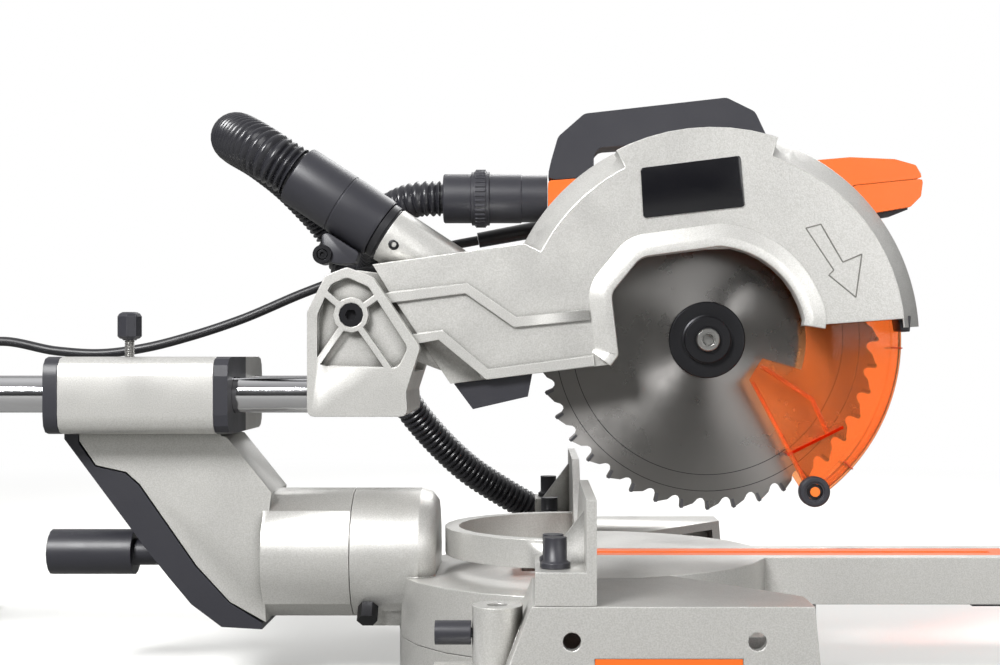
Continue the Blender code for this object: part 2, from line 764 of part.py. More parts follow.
def add_base_fittings():
    rubber = paint("foot rubber", (0.05, 0.05, 0.055), 0.8)
    orange = paint("orange plastic", (0.87, 0.22, 0.03), 0.4)
    black = paint("black plastic", (0.05, 0.05, 0.06), 0.45)
    steel = paint("zinc steel", (0.6, 0.6, 0.58), 0.3, 1.0)
    number = 1
    for side in (-1, 1):
        for x in (DECK_REAR + FOOT_RADIUS, WING_FOOT_FRONT - FOOT_RADIUS / 2):
            y_foot = side * (BASE_HALF_WIDTH - FOOT_RADIUS)
            foot = rod((x, y_foot, 0), (x, y_foot, FOOT_HEIGHT - GAP), FOOT_RADIUS, HOLE_STEPS)
            piece(f"foot_{number}", foot, rubber)
            number += 1
        side_name = "left" if side < 0 else "right"
        inside = side * (BASE_HALF_WIDTH - GRIP_DEPTH)
        outside = side * BASE_HALF_WIDTH
        grip = block(
            (GRIP_X - GRIP_LENGTH / 2, min(inside, outside), FOOT_HEIGHT),
            (GRIP_X + GRIP_LENGTH / 2, max(inside, outside), FOOT_HEIGHT + GRIP_HEIGHT),
        )
        piece(f"wing_grip_{side_name}", grip, orange)
        clamp_z = TABLE_TOP - POST_TOP_DROP - CLAMP_KNOB_DROP / 2
        post_face = POST_X - POST_RADIUS
        profile = [
            (0.0, 0.0),
            (KNOB_RADIUS, 0.0),
            (KNOB_RADIUS, KNOB_LENGTH),
            (KNOB_STEM_RADIUS, KNOB_LENGTH),
            (KNOB_STEM_RADIUS, KNOB_LENGTH + POST_RADIUS - POST_BORE),
            (0.0, KNOB_LENGTH + POST_RADIUS - POST_BORE),
        ]
        start = (post_face - KNOB_LENGTH - 2 * GAP, side * POST_Y, clamp_z)
        piece(f"clamp_knob_{side_name}", turned(profile, start, AXIS_X, HOLE_STEPS), black, start)
    scale = prism(
        ring_sector(
            (0, 0),
            SECTOR_RADIUS,
            SECTOR_RADIUS - SCALE_WIDTH,
            -SCALE_HALF_ANGLE + 4,
            SCALE_HALF_ANGLE - 4,
            16,
        ),
        SECTOR_TOP + GAP,
        SECTOR_TOP + GAP + SCALE_THICKNESS,
        "Z",
    )
    piece("mitre_scale", scale, steel)
    bolt_low = SEAM_Z - FLOOR_THICKNESS - PIVOT_BOLT_HEAD
    profile = [
        (0.0, bolt_low - GAP),
        (PIVOT_BOLT_HEAD_RADIUS, bolt_low - GAP),
        (PIVOT_BOLT_HEAD_RADIUS, bolt_low + PIVOT_BOLT_HEAD - GAP),
        (PIVOT_BOLT_RADIUS, bolt_low + PIVOT_BOLT_HEAD - GAP),
        (PIVOT_BOLT_RADIUS, SEAM_Z + TURNTABLE_PLATE),
        (0.0, SEAM_Z + TURNTABLE_PLATE),
    ]
    piece("pivot_bolt", turned(profile, (0, 0, 0), AXIS_Z, HOLE_STEPS), steel)


def add_fence():
    silver = paint("fence aluminium", (0.58, 0.58, 0.56), 0.4, 0.7)
    black = paint("bolt cap plastic", (0.03, 0.03, 0.035), 0.4)
    foot = TABLE_TOP + GAP
    top = TABLE_TOP + FENCE_HEIGHT
    rear = FENCE_FACE_X - FENCE_WALL
    walls = []
    for side in (-1, 1):
        outline = [
            (side * FENCE_GAP_HALF, foot),
            (side * FENCE_GAP_HALF, foot + FENCE_TOE),
            (side * FENCE_LOW_HALF, top),
            (side * BASE_HALF_WIDTH, top),
            (side * BASE_HALF_WIDTH, foot),
        ]
        walls.append(prism(outline, rear, FENCE_FACE_X, "X"))
    fence = piece("fence", walls[0], silver)
    bridge = prism(
        ring_sector((rear, 0), BRIDGE_RADIUS, BRIDGE_RADIUS - BRIDGE_WALL, 90, 270, 16),
        foot,
        TABLE_TOP + BRIDGE_HEIGHT,
        "Z",
    )
    join(fence, walls[1], bridge)
    block_rear = FENCE_FACE_X - FENCE_BLOCK_DEPTH
    for side in (-1, 1):
        ends = [side * (BASE_HALF_WIDTH - FENCE_BLOCK_WIDTH), side * BASE_HALF_WIDTH]
        outer = block(
            (block_rear, min(ends), foot), (rear + FENCE_WALL / 2, max(ends), TABLE_TOP + BRIDGE_HEIGHT)
        )
        ends = [side * (BRIDGE_RADIUS - BRIDGE_WALL), side * (BRIDGE_RADIUS + FENCE_BLOCK_WIDTH)]
        inner = block(
            (block_rear, min(ends), foot), (rear + FENCE_WALL / 2, max(ends), TABLE_TOP + BRIDGE_HEIGHT / 2)
        )
        gusset_outline = [
            (rear + FENCE_WALL / 2, TABLE_TOP + BRIDGE_HEIGHT / 2),
            (rear + FENCE_WALL / 2, top - FENCE_TOE),
            (rear, top - FENCE_TOE),
            (block_rear + GUSSET_THICKNESS, TABLE_TOP + BRIDGE_HEIGHT),
            (block_rear + GUSSET_THICKNESS, TABLE_TOP + BRIDGE_HEIGHT / 2),
        ]
        y = side * (BASE_HALF_WIDTH - FENCE_BLOCK_WIDTH)
        gusset = prism(gusset_outline, y - GUSSET_THICKNESS / 2, y + GUSSET_THICKNESS / 2)
        join(fence, outer, inner, gusset)
    number = 1
    for side in (-1, 1):
        places = (
            (BASE_HALF_WIDTH - BOLT_INSET, BRIDGE_HEIGHT),
            (BRIDGE_RADIUS + 0.75 * FENCE_BLOCK_WIDTH, BRIDGE_HEIGHT / 2),
        )
        for reach, rise in places:
            x = FENCE_FACE_X - FENCE_BLOCK_DEPTH / 2 - FENCE_WALL
            y = side * reach
            low = TABLE_TOP + rise + GAP
            profile = [
                (0.0, low),
                (1.3 * BOLT_CAP_RADIUS, low),
                (1.3 * BOLT_CAP_RADIUS, low + BOLT_CAP_HEIGHT / 6),
                (BOLT_CAP_RADIUS, low + BOLT_CAP_HEIGHT / 4),
                (BOLT_CAP_RADIUS, low + BOLT_CAP_HEIGHT),
                (0.0, low + BOLT_CAP_HEIGHT),
            ]
            piece(f"fence_bolt_{number}", turned(profile, (x, y, 0), AXIS_Z, HOLE_STEPS), black)
            number += 1


def add_turntable():
    silver = paint("turntable aluminium", (0.56, 0.56, 0.54), 0.4, 0.7)
    orange = paint("kerf plastic", (0.87, 0.22, 0.03), 0.4)
    black = paint("lever plastic", (0.05, 0.05, 0.06), 0.45)
    steel = paint("stop bolt steel", (0.25, 0.25, 0.26), 0.35, 1.0)
    low = SEAM_Z + GAP
    disc = rod((0, 0, low), (0, 0, TABLE_TOP), TURNTABLE_RADIUS, FINE_STEPS)
    table = piece("turntable", disc, silver)
    arm_low = TABLE_TOP - MITRE_ARM_HEIGHT
    arm = block(
        (TURNTABLE_RADIUS / 2, -MITRE_ARM_HALF_WIDTH, arm_low),
        (MITRE_ARM_END, MITRE_ARM_HALF_WIDTH, TABLE_TOP),
    )
    rear_cut = block(
        (-2 * TURNTABLE_RADIUS, -TURNTABLE_RADIUS - OVERRUN, TABLE_TOP - REAR_DROP),
        (FENCE_FACE_X - FENCE_WALL - GAP, TURNTABLE_RADIUS + OVERRUN, TABLE_TOP + OVERRUN),
    )
    join(table, arm)
    cut(table, rear_cut)
    nose = turned(
        [
            (0.0, 0.0),
            (BEVEL_RADIUS, 0.0),
            (BEVEL_RADIUS, BEVEL_FRONT_X - BEVEL_SEAM_X - BEVEL_RADIUS / 4),
            (BEVEL_RADIUS * 0.95, BEVEL_FRONT_X - BEVEL_SEAM_X - BEVEL_RADIUS / 12),
            (BEVEL_RADIUS * 0.84, BEVEL_FRONT_X - BEVEL_SEAM_X),
            (0.0, BEVEL_FRONT_X - BEVEL_SEAM_X),
        ],
        BEVEL_AXIS,
        AXIS_X,
        ROUND_STEPS,
    )
    neck = block(
        (BEVEL_SEAM_X + BEVEL_RADIUS / 4, -BEVEL_RADIUS * 0.5, SEAM_Z + FOOT_HEIGHT),
        (-TURNTABLE_RADIUS * 0.8, BEVEL_RADIUS * 0.5, TABLE_TOP - REAR_DROP),
    )
    join(table, nose, neck)
    hollow = turned(
        [
            (TURNTABLE_HUB, SEAM_Z - OVERRUN),
            (TURNTABLE_RADIUS - TURNTABLE_WALL, SEAM_Z - OVERRUN),
            (TURNTABLE_RADIUS - TURNTABLE_WALL, TABLE_TOP - REAR_DROP - TURNTABLE_WALL),
            (TURNTABLE_HUB, TABLE_TOP - REAR_DROP - TURNTABLE_WALL),
        ],
        (0, 0, 0),
        AXIS_Z,
        FINE_STEPS,
    )
    arm_hollow = block(
        (TURNTABLE_RADIUS * 0.75, -MITRE_ARM_HALF_WIDTH + WING_WALL, SEAM_Z),
        (MITRE_ARM_END - WING_WALL, MITRE_ARM_HALF_WIDTH - WING_WALL, TABLE_TOP - WING_WALL),
    )
    pocket = block(
        (KERF_REAR, -KERF_POCKET_HALF - GAP, TABLE_TOP - KERF_POCKET_DEPTH),
        (KERF_END, KERF_POCKET_HALF + GAP, TABLE_TOP + OVERRUN),
    )
    slot = block(
        (KERF_REAR + WING_WALL, -KERF_SLOT_HALF, SEAM_Z - OVERRUN),
        (KERF_END - WING_WALL, KERF_SLOT_HALF, TABLE_TOP + OVERRUN),
    )
    bolt_top = (0, 0, SEAM_Z + TURNTABLE_PLATE + GAP)
    bolt_hole = rod((0, 0, 0), bolt_top, PIVOT_BOLT_RADIUS + GAP, HOLE_STEPS)
    spigot = rod(
        BEVEL_AXIS - OVERRUN * AXIS_X,
        BEVEL_AXIS + (BEVEL_SPIGOT_LENGTH + GAP) * AXIS_X,
        BEVEL_SPIGOT_RADIUS + RUNNING,
        ROUND_STEPS,
    )
    cut(table, hollow, arm_hollow, pocket, slot, bolt_hole, spigot)
    plate = block(
        (KERF_REAR + GAP, -KERF_POCKET_HALF, TABLE_TOP - KERF_PLATE_THICKNESS - GAP),
        (KERF_END - GAP, KERF_POCKET_HALF, TABLE_TOP - GAP),
    )
    kerf = piece("kerf_plate", plate, orange)
    slit = block(
        (KERF_REAR + 2 * WING_WALL, -KERF_SLIT_HALF, 0.0),
        (KERF_END - 2 * WING_WALL, KERF_SLIT_HALF, TABLE_TOP + OVERRUN),
    )
    cut(kerf, slit)
    side = math.radians(STOP_BOLT_ANGLE)
    stop = Vector(
        (
            BEVEL_SEAM_X + STOP_BOLT_RADIUS * 1.6,
            (BEVEL_RADIUS + GAP) * math.cos(side),
            TABLE_TOP + (BEVEL_RADIUS + GAP) * math.sin(side),
        )
    )
    outward = Vector((0.0, math.cos(side), math.sin(side)))
    bolt = rod(stop, stop + STOP_BOLT_LENGTH * outward, STOP_BOLT_RADIUS, 6)
    piece("stop_bolt", bolt, steel)
    end = Vector((MITRE_ARM_END, 0.0, TABLE_TOP - MITRE_ARM_HEIGHT / 2))
    profile = [
        (0.0, GAP),
        (MITRE_KNOB_STEM, GAP),
        (MITRE_KNOB_STEM, MITRE_KNOB_STEM_LENGTH),
        (MITRE_KNOB_RADIUS * 0.85, MITRE_KNOB_STEM_LENGTH),
        (MITRE_KNOB_RADIUS, MITRE_KNOB_STEM_LENGTH + MITRE_KNOB_LENGTH / 8),
        (MITRE_KNOB_RADIUS, MITRE_KNOB_STEM_LENGTH + MITRE_KNOB_LENGTH * 0.8),
        (MITRE_KNOB_RADIUS * 0.8, MITRE_KNOB_STEM_LENGTH + MITRE_KNOB_LENGTH),
        (0.0, MITRE_KNOB_STEM_LENGTH + MITRE_KNOB_LENGTH),
    ]
    piece("mitre_lock_knob", turned(profile, end, AXIS_X, 16), black, end)
    hinge_z = TABLE_TOP - MITRE_ARM_HEIGHT - DETENT_THICKNESS
    hinge = Vector((MITRE_ARM_END - DETENT_LENGTH * 0.8, 0.0, hinge_z))
    lever = block(
        (hinge.x, -DETENT_WIDTH / 2, hinge.z),
        (hinge.x + DETENT_LENGTH, DETENT_WIDTH / 2, hinge.z + DETENT_THICKNESS - GAP),
    )
    piece("detent_lever", lever, black, hinge)


def add_bevel_arm():
    silver = paint("bevel arm aluminium", (0.58, 0.58, 0.56), 0.4, 0.7)
    black = paint("cover plastic", (0.04, 0.04, 0.045), 0.45)
    steel = paint("knob steel", (0.45, 0.45, 0.45), 0.3, 1.0)
    centre = (BEVEL_SEAM_X, TABLE_TOP)
    outline = scaled(BEVEL_ARM_SHARES, ARM_REACH, centre)
    arm = piece("bevel_arm", prism(outline, -ARM_HALF_WIDTH, ARM_HALF_WIDTH), silver, BEVEL_AXIS)
    hub = rod(
        (BEVEL_REAR_X, 0, TABLE_TOP), (BEVEL_SEAM_X - 2 * GAP, 0, TABLE_TOP), BEVEL_RADIUS, ROUND_STEPS
    )
    spigot = rod(
        ((BEVEL_REAR_X + BEVEL_SEAM_X) / 2, 0, TABLE_TOP),
        (BEVEL_SEAM_X + BEVEL_SPIGOT_LENGTH - GAP, 0, TABLE_TOP),
        BEVEL_SPIGOT_RADIUS,
        ROUND_STEPS,
    )
    half_width = RAIL_Y + HOUSING_HALF
    cap = HOUSING_CAP + GAP
    section = rounded(
        [
            (-half_width, RAIL_Z - HOUSING_HALF),
            (half_width, RAIL_Z - HOUSING_HALF),
            (half_width, RAIL_Z + HOUSING_HALF),
            (-half_width, RAIL_Z + HOUSING_HALF),
        ],
        HOUSING_HALF / 2,
        3,
    )
    housing = prism(section, HOUSING_REAR_X + cap, HOUSING_FRONT_X - cap, "X")
    join(arm, hub, spigot, housing)
    for side in (-1, 1):
        bore = rod(
            (HOUSING_REAR_X - OVERRUN, side * RAIL_Y, RAIL_Z),
            (HOUSING_FRONT_X + OVERRUN, side * RAIL_Y, RAIL_Z),
            RAIL_RADIUS + RUNNING,
            ROUND_STEPS,
        )
        cut(arm, bore)
    knob_x = SLIDE_KNOB_X
    top = RAIL_Z + HOUSING_HALF
    knob_y = -RAIL_Y
    cut(
        arm,
        rod(
            (knob_x, knob_y, RAIL_Z), (knob_x, knob_y, top + OVERRUN), SLIDE_KNOB_STEM + GAP, HOLE_STEPS
        ),
    )
    outline = scaled(COVER_SHARES, ARM_REACH, centre)
    cover = piece("bevel_cover", prism(outline, -ARM_HALF_WIDTH, ARM_HALF_WIDTH), black, BEVEL_AXIS)
    lever_root = Vector((LEVER_ROOT_X, 0.0, TABLE_TOP))
    stem_hole = rod(
        lever_root - LEVER_STEM_LENGTH * AXIS_X,
        lever_root + LEVER_STEM_LENGTH * AXIS_X,
        LEVER_STEM_RADIUS + RUNNING,
        16,
    )
    cut(cover, stem_hole)
    caps = (("housing_cap_rear", HOUSING_REAR_X), ("housing_cap_front", HOUSING_FRONT_X - HOUSING_CAP))
    for name, x in caps:
        ring = piece(name, prism(section, x, x + HOUSING_CAP, "X"), black, BEVEL_AXIS)
        for side in (-1, 1):
            bore = rod(
                (x - OVERRUN, side * RAIL_Y, RAIL_Z),
                (x + HOUSING_CAP + OVERRUN, side * RAIL_Y, RAIL_Z),
                RAIL_RADIUS + RUNNING,
                ROUND_STEPS,
            )
            cut(ring, bore)
    profile = [
        (0.0, 0.0),
        (LEVER_STEM_RADIUS, 0.0),
        (LEVER_STEM_RADIUS, LEVER_STEM_LENGTH),
        (LEVER_RADIUS, LEVER_STEM_LENGTH),
        (LEVER_RADIUS, LEVER_STEM_LENGTH + LEVER_LENGTH),
        (0.0, LEVER_STEM_LENGTH + LEVER_LENGTH),
    ]
    piece("bevel_lock_handle", turned(profile, lever_root, -AXIS_X, 16), black, lever_root)
    profile = [
        (0.0, -HOUSING_HALF / 3),
        (SLIDE_KNOB_STEM, -HOUSING_HALF / 3),
        (SLIDE_KNOB_STEM, SLIDE_KNOB_STEM_LENGTH),
        (SLIDE_KNOB_COLLAR, SLIDE_KNOB_STEM_LENGTH),
        (SLIDE_KNOB_COLLAR, SLIDE_KNOB_STEM_LENGTH + SLIDE_KNOB_STEM),
        (SLIDE_KNOB_RADIUS, SLIDE_KNOB_STEM_LENGTH + SLIDE_KNOB_STEM),
        (SLIDE_KNOB_RADIUS, SLIDE_KNOB_STEM_LENGTH + SLIDE_KNOB_STEM + SLIDE_KNOB_HEIGHT),
        (0.0, SLIDE_KNOB_STEM_LENGTH + SLIDE_KNOB_STEM + SLIDE_KNOB_HEIGHT),
    ]
    foot = (knob_x, knob_y, top)
    piece("slide_lock_knob", turned(profile, foot, AXIS_Z, HOLE_STEPS), black, foot)


def add_carriage():
    silver = paint("bracket aluminium", (0.62, 0.62, 0.60), 0.4, 0.7)
    chrome = paint("chromed steel", (0.75, 0.75, 0.75), 0.08, 1.0)
    black = paint("end plate plastic", (0.05, 0.05, 0.06), 0.45)
    steel = paint("pivot steel", (0.12, 0.12, 0.13), 0.35, 0.8)
    rail_front = BRACKET_FRONT_X - EAR_RIM
    for name, y in (("rail_near", -RAIL_Y), ("rail_far", RAIL_Y)):
        rail = rod((RAIL_REAR_X, y, RAIL_Z), (rail_front - GAP, y, RAIL_Z), RAIL_RADIUS, ROUND_STEPS)
        piece(name, rail, chrome)
    half_width = RAIL_Y + RAIL_RADIUS + END_PLATE_MARGIN
    section = rounded(
        [
            (-half_width, RAIL_Z - RAIL_RADIUS - END_PLATE_MARGIN),
            (half_width, RAIL_Z - RAIL_RADIUS - END_PLATE_MARGIN),
            (half_width, RAIL_Z + RAIL_RADIUS + END_PLATE_MARGIN),
            (-half_width, RAIL_Z + RAIL_RADIUS + END_PLATE_MARGIN),
        ],
        RAIL_RADIUS,
        3,
    )
    plate = prism(section, RAIL_REAR_X - END_PLATE_THICKNESS - GAP, RAIL_REAR_X - GAP, "X")
    piece("rail_end_plate", plate, black)
    centre = (PIVOT_X, PIVOT_AXIS.z)
    outline = rounded(scaled(EAR_SHARES, EAR_SCALE, centre), EAR_RIM, 3)
    bracket = piece("carriage_bracket", prism(outline, -EAR_OUTER, EAR_OUTER), silver, PIVOT_AXIS)
    fork = block(
        (BRACKET_REAR_X - OVERRUN, -EAR_INNER, PIVOT_AXIS.z - EAR_SCALE + BRACKET_FLOOR),
        (PIVOT_X + EAR_SCALE, EAR_INNER, PIVOT_AXIS.z + EAR_SCALE),
    )
    cut(bracket, fork)
    for y in (-RAIL_Y, RAIL_Y):
        bore = rod(
            (BRACKET_REAR_X - OVERRUN, y, RAIL_Z), (rail_front, y, RAIL_Z), RAIL_RADIUS + GAP, ROUND_STEPS
        )
        cut(bracket, bore)
    hole = rod(
        (PIVOT_X, -EAR_OUTER - OVERRUN, centre[1]),
        (PIVOT_X, EAR_OUTER + OVERRUN, centre[1]),
        PIVOT_SHAFT_RADIUS + GAP,
        HOLE_STEPS,
    )
    cut(bracket, hole)
    pocket = rounded(scaled(EAR_POCKET_SHARES, EAR_SCALE, centre), EAR_RIM, 2)
    for side in (-1,):
        face = side * EAR_OUTER
        floor = side * (EAR_OUTER - EAR_POCKET)
        tool = prism(pocket, min(face + side * OVERRUN, floor), max(face + side * OVERRUN, floor))
        keep = turned(
            [
                (0.0, 0.0),
                (EAR_HUB_RADIUS, 0.0),
                (EAR_HUB_RADIUS, 2 * EAR_POCKET + OVERRUN),
                (0.0, 2 * EAR_POCKET + OVERRUN),
            ],
            (PIVOT_X, side * (EAR_OUTER - 1.5 * EAR_POCKET), centre[1]),
            side * AXIS_Y,
            HOLE_STEPS,
        )
        cutter = hidden(tool)
        ribs = [keep]
        for turn in (140.0, 35.0, -55.0, -125.0):
            way = Vector((math.cos(math.radians(turn)), 0.0, math.sin(math.radians(turn))))
            across = Vector((-way.z, 0.0, way.x)) * EAR_RIM * 0.4
            start = Vector((PIVOT_X, 0.0, centre[1]))
            corners = [start + across, start + EAR_SCALE * way + across]
            corners += [start + EAR_SCALE * way - across, start - across]
            y0 = side * (EAR_OUTER - 1.5 * EAR_POCKET)
            y1 = side * (EAR_OUTER + 2 * OVERRUN)
            ribs.append(prism([(c.x, c.z) for c in corners], min(y0, y1), max(y0, y1)))
        combine(cutter, "DIFFERENCE", ribs)
        modifier = bracket.modifiers.new("pocket", "BOOLEAN")
        modifier.operation = "DIFFERENCE"
        modifier.object = cutter
    shaft = turned(
        [
            (0.0, -EAR_OUTER),
            (PIVOT_SHAFT_RADIUS, -EAR_OUTER),
            (PIVOT_SHAFT_RADIUS, EAR_OUTER),
            (0.0, EAR_OUTER),
        ],
        PIVOT_AXIS,
        AXIS_Y,
        HOLE_STEPS,
    )
    shaft_obj = piece("pivot_shaft", shaft, steel, PIVOT_AXIS)
    socket = turned(
        [
            (0.0, -EAR_OUTER - OVERRUN),
            (PIVOT_SHAFT_RADIUS / 2, -EAR_OUTER - OVERRUN),
            (PIVOT_SHAFT_RADIUS / 2, -EAR_OUTER + OVERRUN),
            (0.0, -EAR_OUTER + OVERRUN),
        ],
        PIVOT_AXIS,
        AXIS_Y,
        6,
    )
    cut(shaft_obj, socket)
    pin_at = Vector((PIVOT_X + 0.36 * EAR_SCALE, EAR_OUTER, PIVOT_AXIS.z - 0.30 * EAR_SCALE))
    pin_hole = rod(
        pin_at - (LOCK_PIN_LENGTH + GAP) * AXIS_Y / 2,
        pin_at + OVERRUN * AXIS_Y,
        LOCK_PIN_RADIUS + RUNNING,
        HOLE_STEPS,
    )
    cut(bracket, pin_hole)
    profile = [
        (0.0, -LOCK_PIN_LENGTH / 2),
        (LOCK_PIN_RADIUS, -LOCK_PIN_LENGTH / 2),
        (LOCK_PIN_RADIUS, GAP),
        (2.2 * LOCK_PIN_RADIUS, GAP),
        (2.2 * LOCK_PIN_RADIUS, LOCK_PIN_HEAD),
        (0.0, LOCK_PIN_HEAD),
    ]
    piece("head_lock_pin", turned(profile, pin_at, AXIS_Y, HOLE_STEPS), black, pin_at)


def guard_outline():
    """The outside of the arm and the upper guard, seen from the blade's side."""
    centre = (BLADE_X, BLADE_AXIS.z)
    left = scaled(ARM_LEFT_SHARES, GUARD_RADIUS, centre)
    window = arc(centre, WINDOW_RADIUS, 88.0, 12.0, 8)
    outer = arc(centre, GUARD_RADIUS, 6.0, 153.2, 26)
    return left + window[1:] + [(centre[0] + 0.425 * GUARD_RADIUS, centre[1] + 0.063 * GUARD_RADIUS)] + outer


def add_head_casting():
    silver = paint("head aluminium", (0.60, 0.60, 0.58), 0.4, 0.7)
    centre = (BLADE_X, BLADE_AXIS.z)
    head = piece("head_casting", prism(guard_outline(), -GUARD_NEAR, GUARD_FAR), silver, PIVOT_AXIS)
    web = prism(
        rounded(scaled(WEB_SHARES, GUARD_RADIUS, centre), HUB_RADIUS / 4, 2),
        -GUARD_NEAR + GUARD_WALL,
        GUARD_FAR - GUARD_WALL / 4,
    )
    hub = rod(
        PIVOT_AXIS - (EAR_INNER - 2 * GAP) * AXIS_Y,
        PIVOT_AXIS + (EAR_INNER - 2 * GAP) * AXIS_Y,
        HUB_RADIUS,
        ROUND_STEPS,
    )
    tube_foot = CUFF_FOOT - DUCT_LENGTH * CUFF_DIRECTION
    duct = rod(tube_foot, CUFF_FOOT - CUFF_BAND * CUFF_DIRECTION, DUCT_RADIUS, ROUND_STEPS)
    join(head, web, hub, duct)
    for rib_shares in (UPPER_RIB_SHARES, LOWER_RIB_SHARES):
        line = [Vector(p) for p in scaled(rib_shares, GUARD_RADIUS, centre)]
        upper, lower = [], []
        for i, p in enumerate(line):
            ahead = line[min(i + 1, len(line) - 1)] - line[max(i - 1, 0)]
            normal = Vector((-ahead.y, ahead.x)).normalized() * ARM_RIB_WIDTH / 2
            upper.append(tuple(p + normal))
            lower.append(tuple(p - normal))
        join(head, prism(upper + lower[::-1], -GUARD_NEAR - ARM_RIB_HEIGHT, -GUARD_NEAR + ARM_RIB_HEIGHT))
    chamfer = [
        (GUARD_FACE_RADIUS, -GUARD_NEAR - GAP),
        (GUARD_RADIUS + OVERRUN, -GUARD_NEAR - GAP),
        (GUARD_RADIUS + OVERRUN, -GUARD_NEAR + GUARD_CHAMFER * 1.2),
    ]
    start = Vector((math.cos(math.radians(4.0)), 0.0, math.sin(math.radians(4.0))))
    cut(
        head,
        turned(chamfer, BLADE_AXIS, AXIS_Y, 12, -68.0, start),
        turned(
            chamfer,
            BLADE_AXIS,
            AXIS_Y,
            8,
            -36.0,
            Vector((math.cos(math.radians(117.0)), 0.0, math.sin(math.radians(117.0)))),
        ),
    )
    cavity = turned(
        [
            (0.0, -GUARD_NEAR + GUARD_WALL),
            (GUARD_RADIUS - GUARD_WALL, -GUARD_NEAR + GUARD_WALL * 1.8),
            (GUARD_RADIUS - GUARD_WALL, GUARD_FAR - GUARD_WALL),
            (0.0, GUARD_FAR - GUARD_WALL),
        ],
        BLADE_AXIS,
        AXIS_Y,
        FINE_STEPS,
    )
    chamber = prism(
        scaled(DUCT_SHARES, GUARD_RADIUS, centre), -GUARD_NEAR + GUARD_WALL, GUARD_FAR - GUARD_WALL
    )
    tube_bore = rod(
        tube_foot + DUCT_WALL * CUFF_DIRECTION,
        CUFF_FOOT + OVERRUN * CUFF_DIRECTION,
        DUCT_RADIUS - DUCT_WALL,
        16,
    )
    shaft_hole = rod(
        PIVOT_AXIS - EAR_OUTER * AXIS_Y,
        PIVOT_AXIS + EAR_OUTER * AXIS_Y,
        PIVOT_SHAFT_RADIUS + RUNNING,
        HOLE_STEPS,
    )
    spring_seat = turned(
        [
            (0.0, EAR_INNER - SPRING_TURNS * SPRING_PITCH - 4 * SPRING_WIRE),
            (SPRING_RADIUS + 2 * SPRING_WIRE, EAR_INNER - SPRING_TURNS * SPRING_PITCH - 4 * SPRING_WIRE),
            (SPRING_RADIUS + 2 * SPRING_WIRE, EAR_INNER + OVERRUN),
            (0.0, EAR_INNER + OVERRUN),
        ],
        PIVOT_AXIS,
        AXIS_Y,
        HOLE_STEPS,
    )
    port = rod(
        (PORT_X, GUARD_FAR - 2 * GUARD_WALL, PORT_Z),
        (PORT_X, GUARD_FAR + OVERRUN, PORT_Z),
        PORT_RADIUS,
        HOLE_STEPS,
    )
    cut(head, cavity, chamber, tube_bore, shaft_hole, spring_seat, port)
    black = paint("chute plastic", (0.05, 0.05, 0.055), 0.5)
    outline = [
        (BLADE_X - 1.220 * GUARD_RADIUS, BLADE_AXIS.z - 0.2072 * GUARD_RADIUS - 1.1 * GAP),
        (BLADE_X - 1.130 * GUARD_RADIUS, BLADE_AXIS.z - 0.330 * GUARD_RADIUS),
        (BLADE_X - 0.870 * GUARD_RADIUS, BLADE_AXIS.z - 0.270 * GUARD_RADIUS),
        (BLADE_X - 0.850 * GUARD_RADIUS, BLADE_AXIS.z - 0.1628 * GUARD_RADIUS - 1.1 * GAP),
    ]
    chute = piece("dust_chute", prism(outline, -CHUTE_NEAR, CHUTE_FAR), black, PIVOT_AXIS)
    mouth = prism(
        [
            (BLADE_X - 1.150 * GUARD_RADIUS, BLADE_AXIS.z - 0.100 * GUARD_RADIUS),
            (BLADE_X - 1.090 * GUARD_RADIUS, BLADE_AXIS.z - 0.420 * GUARD_RADIUS),
            (BLADE_X - 0.900 * GUARD_RADIUS, BLADE_AXIS.z - 0.420 * GUARD_RADIUS),
            (BLADE_X - 0.890 * GUARD_RADIUS, BLADE_AXIS.z - 0.060 * GUARD_RADIUS),
        ],
        -CHUTE_NEAR + WING_WALL / 2,
        CHUTE_FAR - WING_WALL / 2,
    )
    cut(chute, mouth)
    cut(
        head,
        prism(
            [
                (BLADE_X - 1.120 * GUARD_RADIUS, BLADE_AXIS.z - 0.050 * GUARD_RADIUS),
                (BLADE_X - 1.130 * GUARD_RADIUS, BLADE_AXIS.z - 0.300 * GUARD_RADIUS),
                (BLADE_X - 0.920 * GUARD_RADIUS, BLADE_AXIS.z - 0.300 * GUARD_RADIUS),
                (BLADE_X - 0.915 * GUARD_RADIUS, BLADE_AXIS.z - 0.050 * GUARD_RADIUS),
            ],
            -CHUTE_NEAR + WING_WALL,
            CHUTE_FAR - WING_WALL,
        ),
    )
    coil = []
    turns = SPRING_TURNS
    for i in range(turns * 10 + 1):
        angle = 2 * math.pi * i / 10
        y = EAR_INNER - 3 * SPRING_WIRE - SPRING_PITCH * i / 10
        coil.append(
            (PIVOT_X + SPRING_RADIUS * math.cos(angle), y, PIVOT_AXIS.z + SPRING_RADIUS * math.sin(angle))
        )
    steel = paint("spring steel", (0.3, 0.3, 0.3), 0.3, 1.0)
    piece("return_spring", tube("spring", coil, SPRING_WIRE, 1), steel, PIVOT_AXIS, 60.0)


def gear(teeth, phase):
    """A spur gear's outline with straight-sided teeth."""
    pitch_radius = GEAR_MODULE * teeth / 2
    root = pitch_radius - 1.25 * GEAR_MODULE
    tip = pitch_radius + 0.95 * GEAR_MODULE
    step = 2 * math.pi / teeth
    points = []
    for i in range(teeth):
        centre = i * step + phase
        for radius, share in ((root, -0.30), (tip, -0.12), (tip, 0.12), (root, 0.30)):
            turn = centre + share * step * 2 * BACKLASH_SHARE
            points.append((radius * math.cos(turn), radius * math.sin(turn)))
    return points


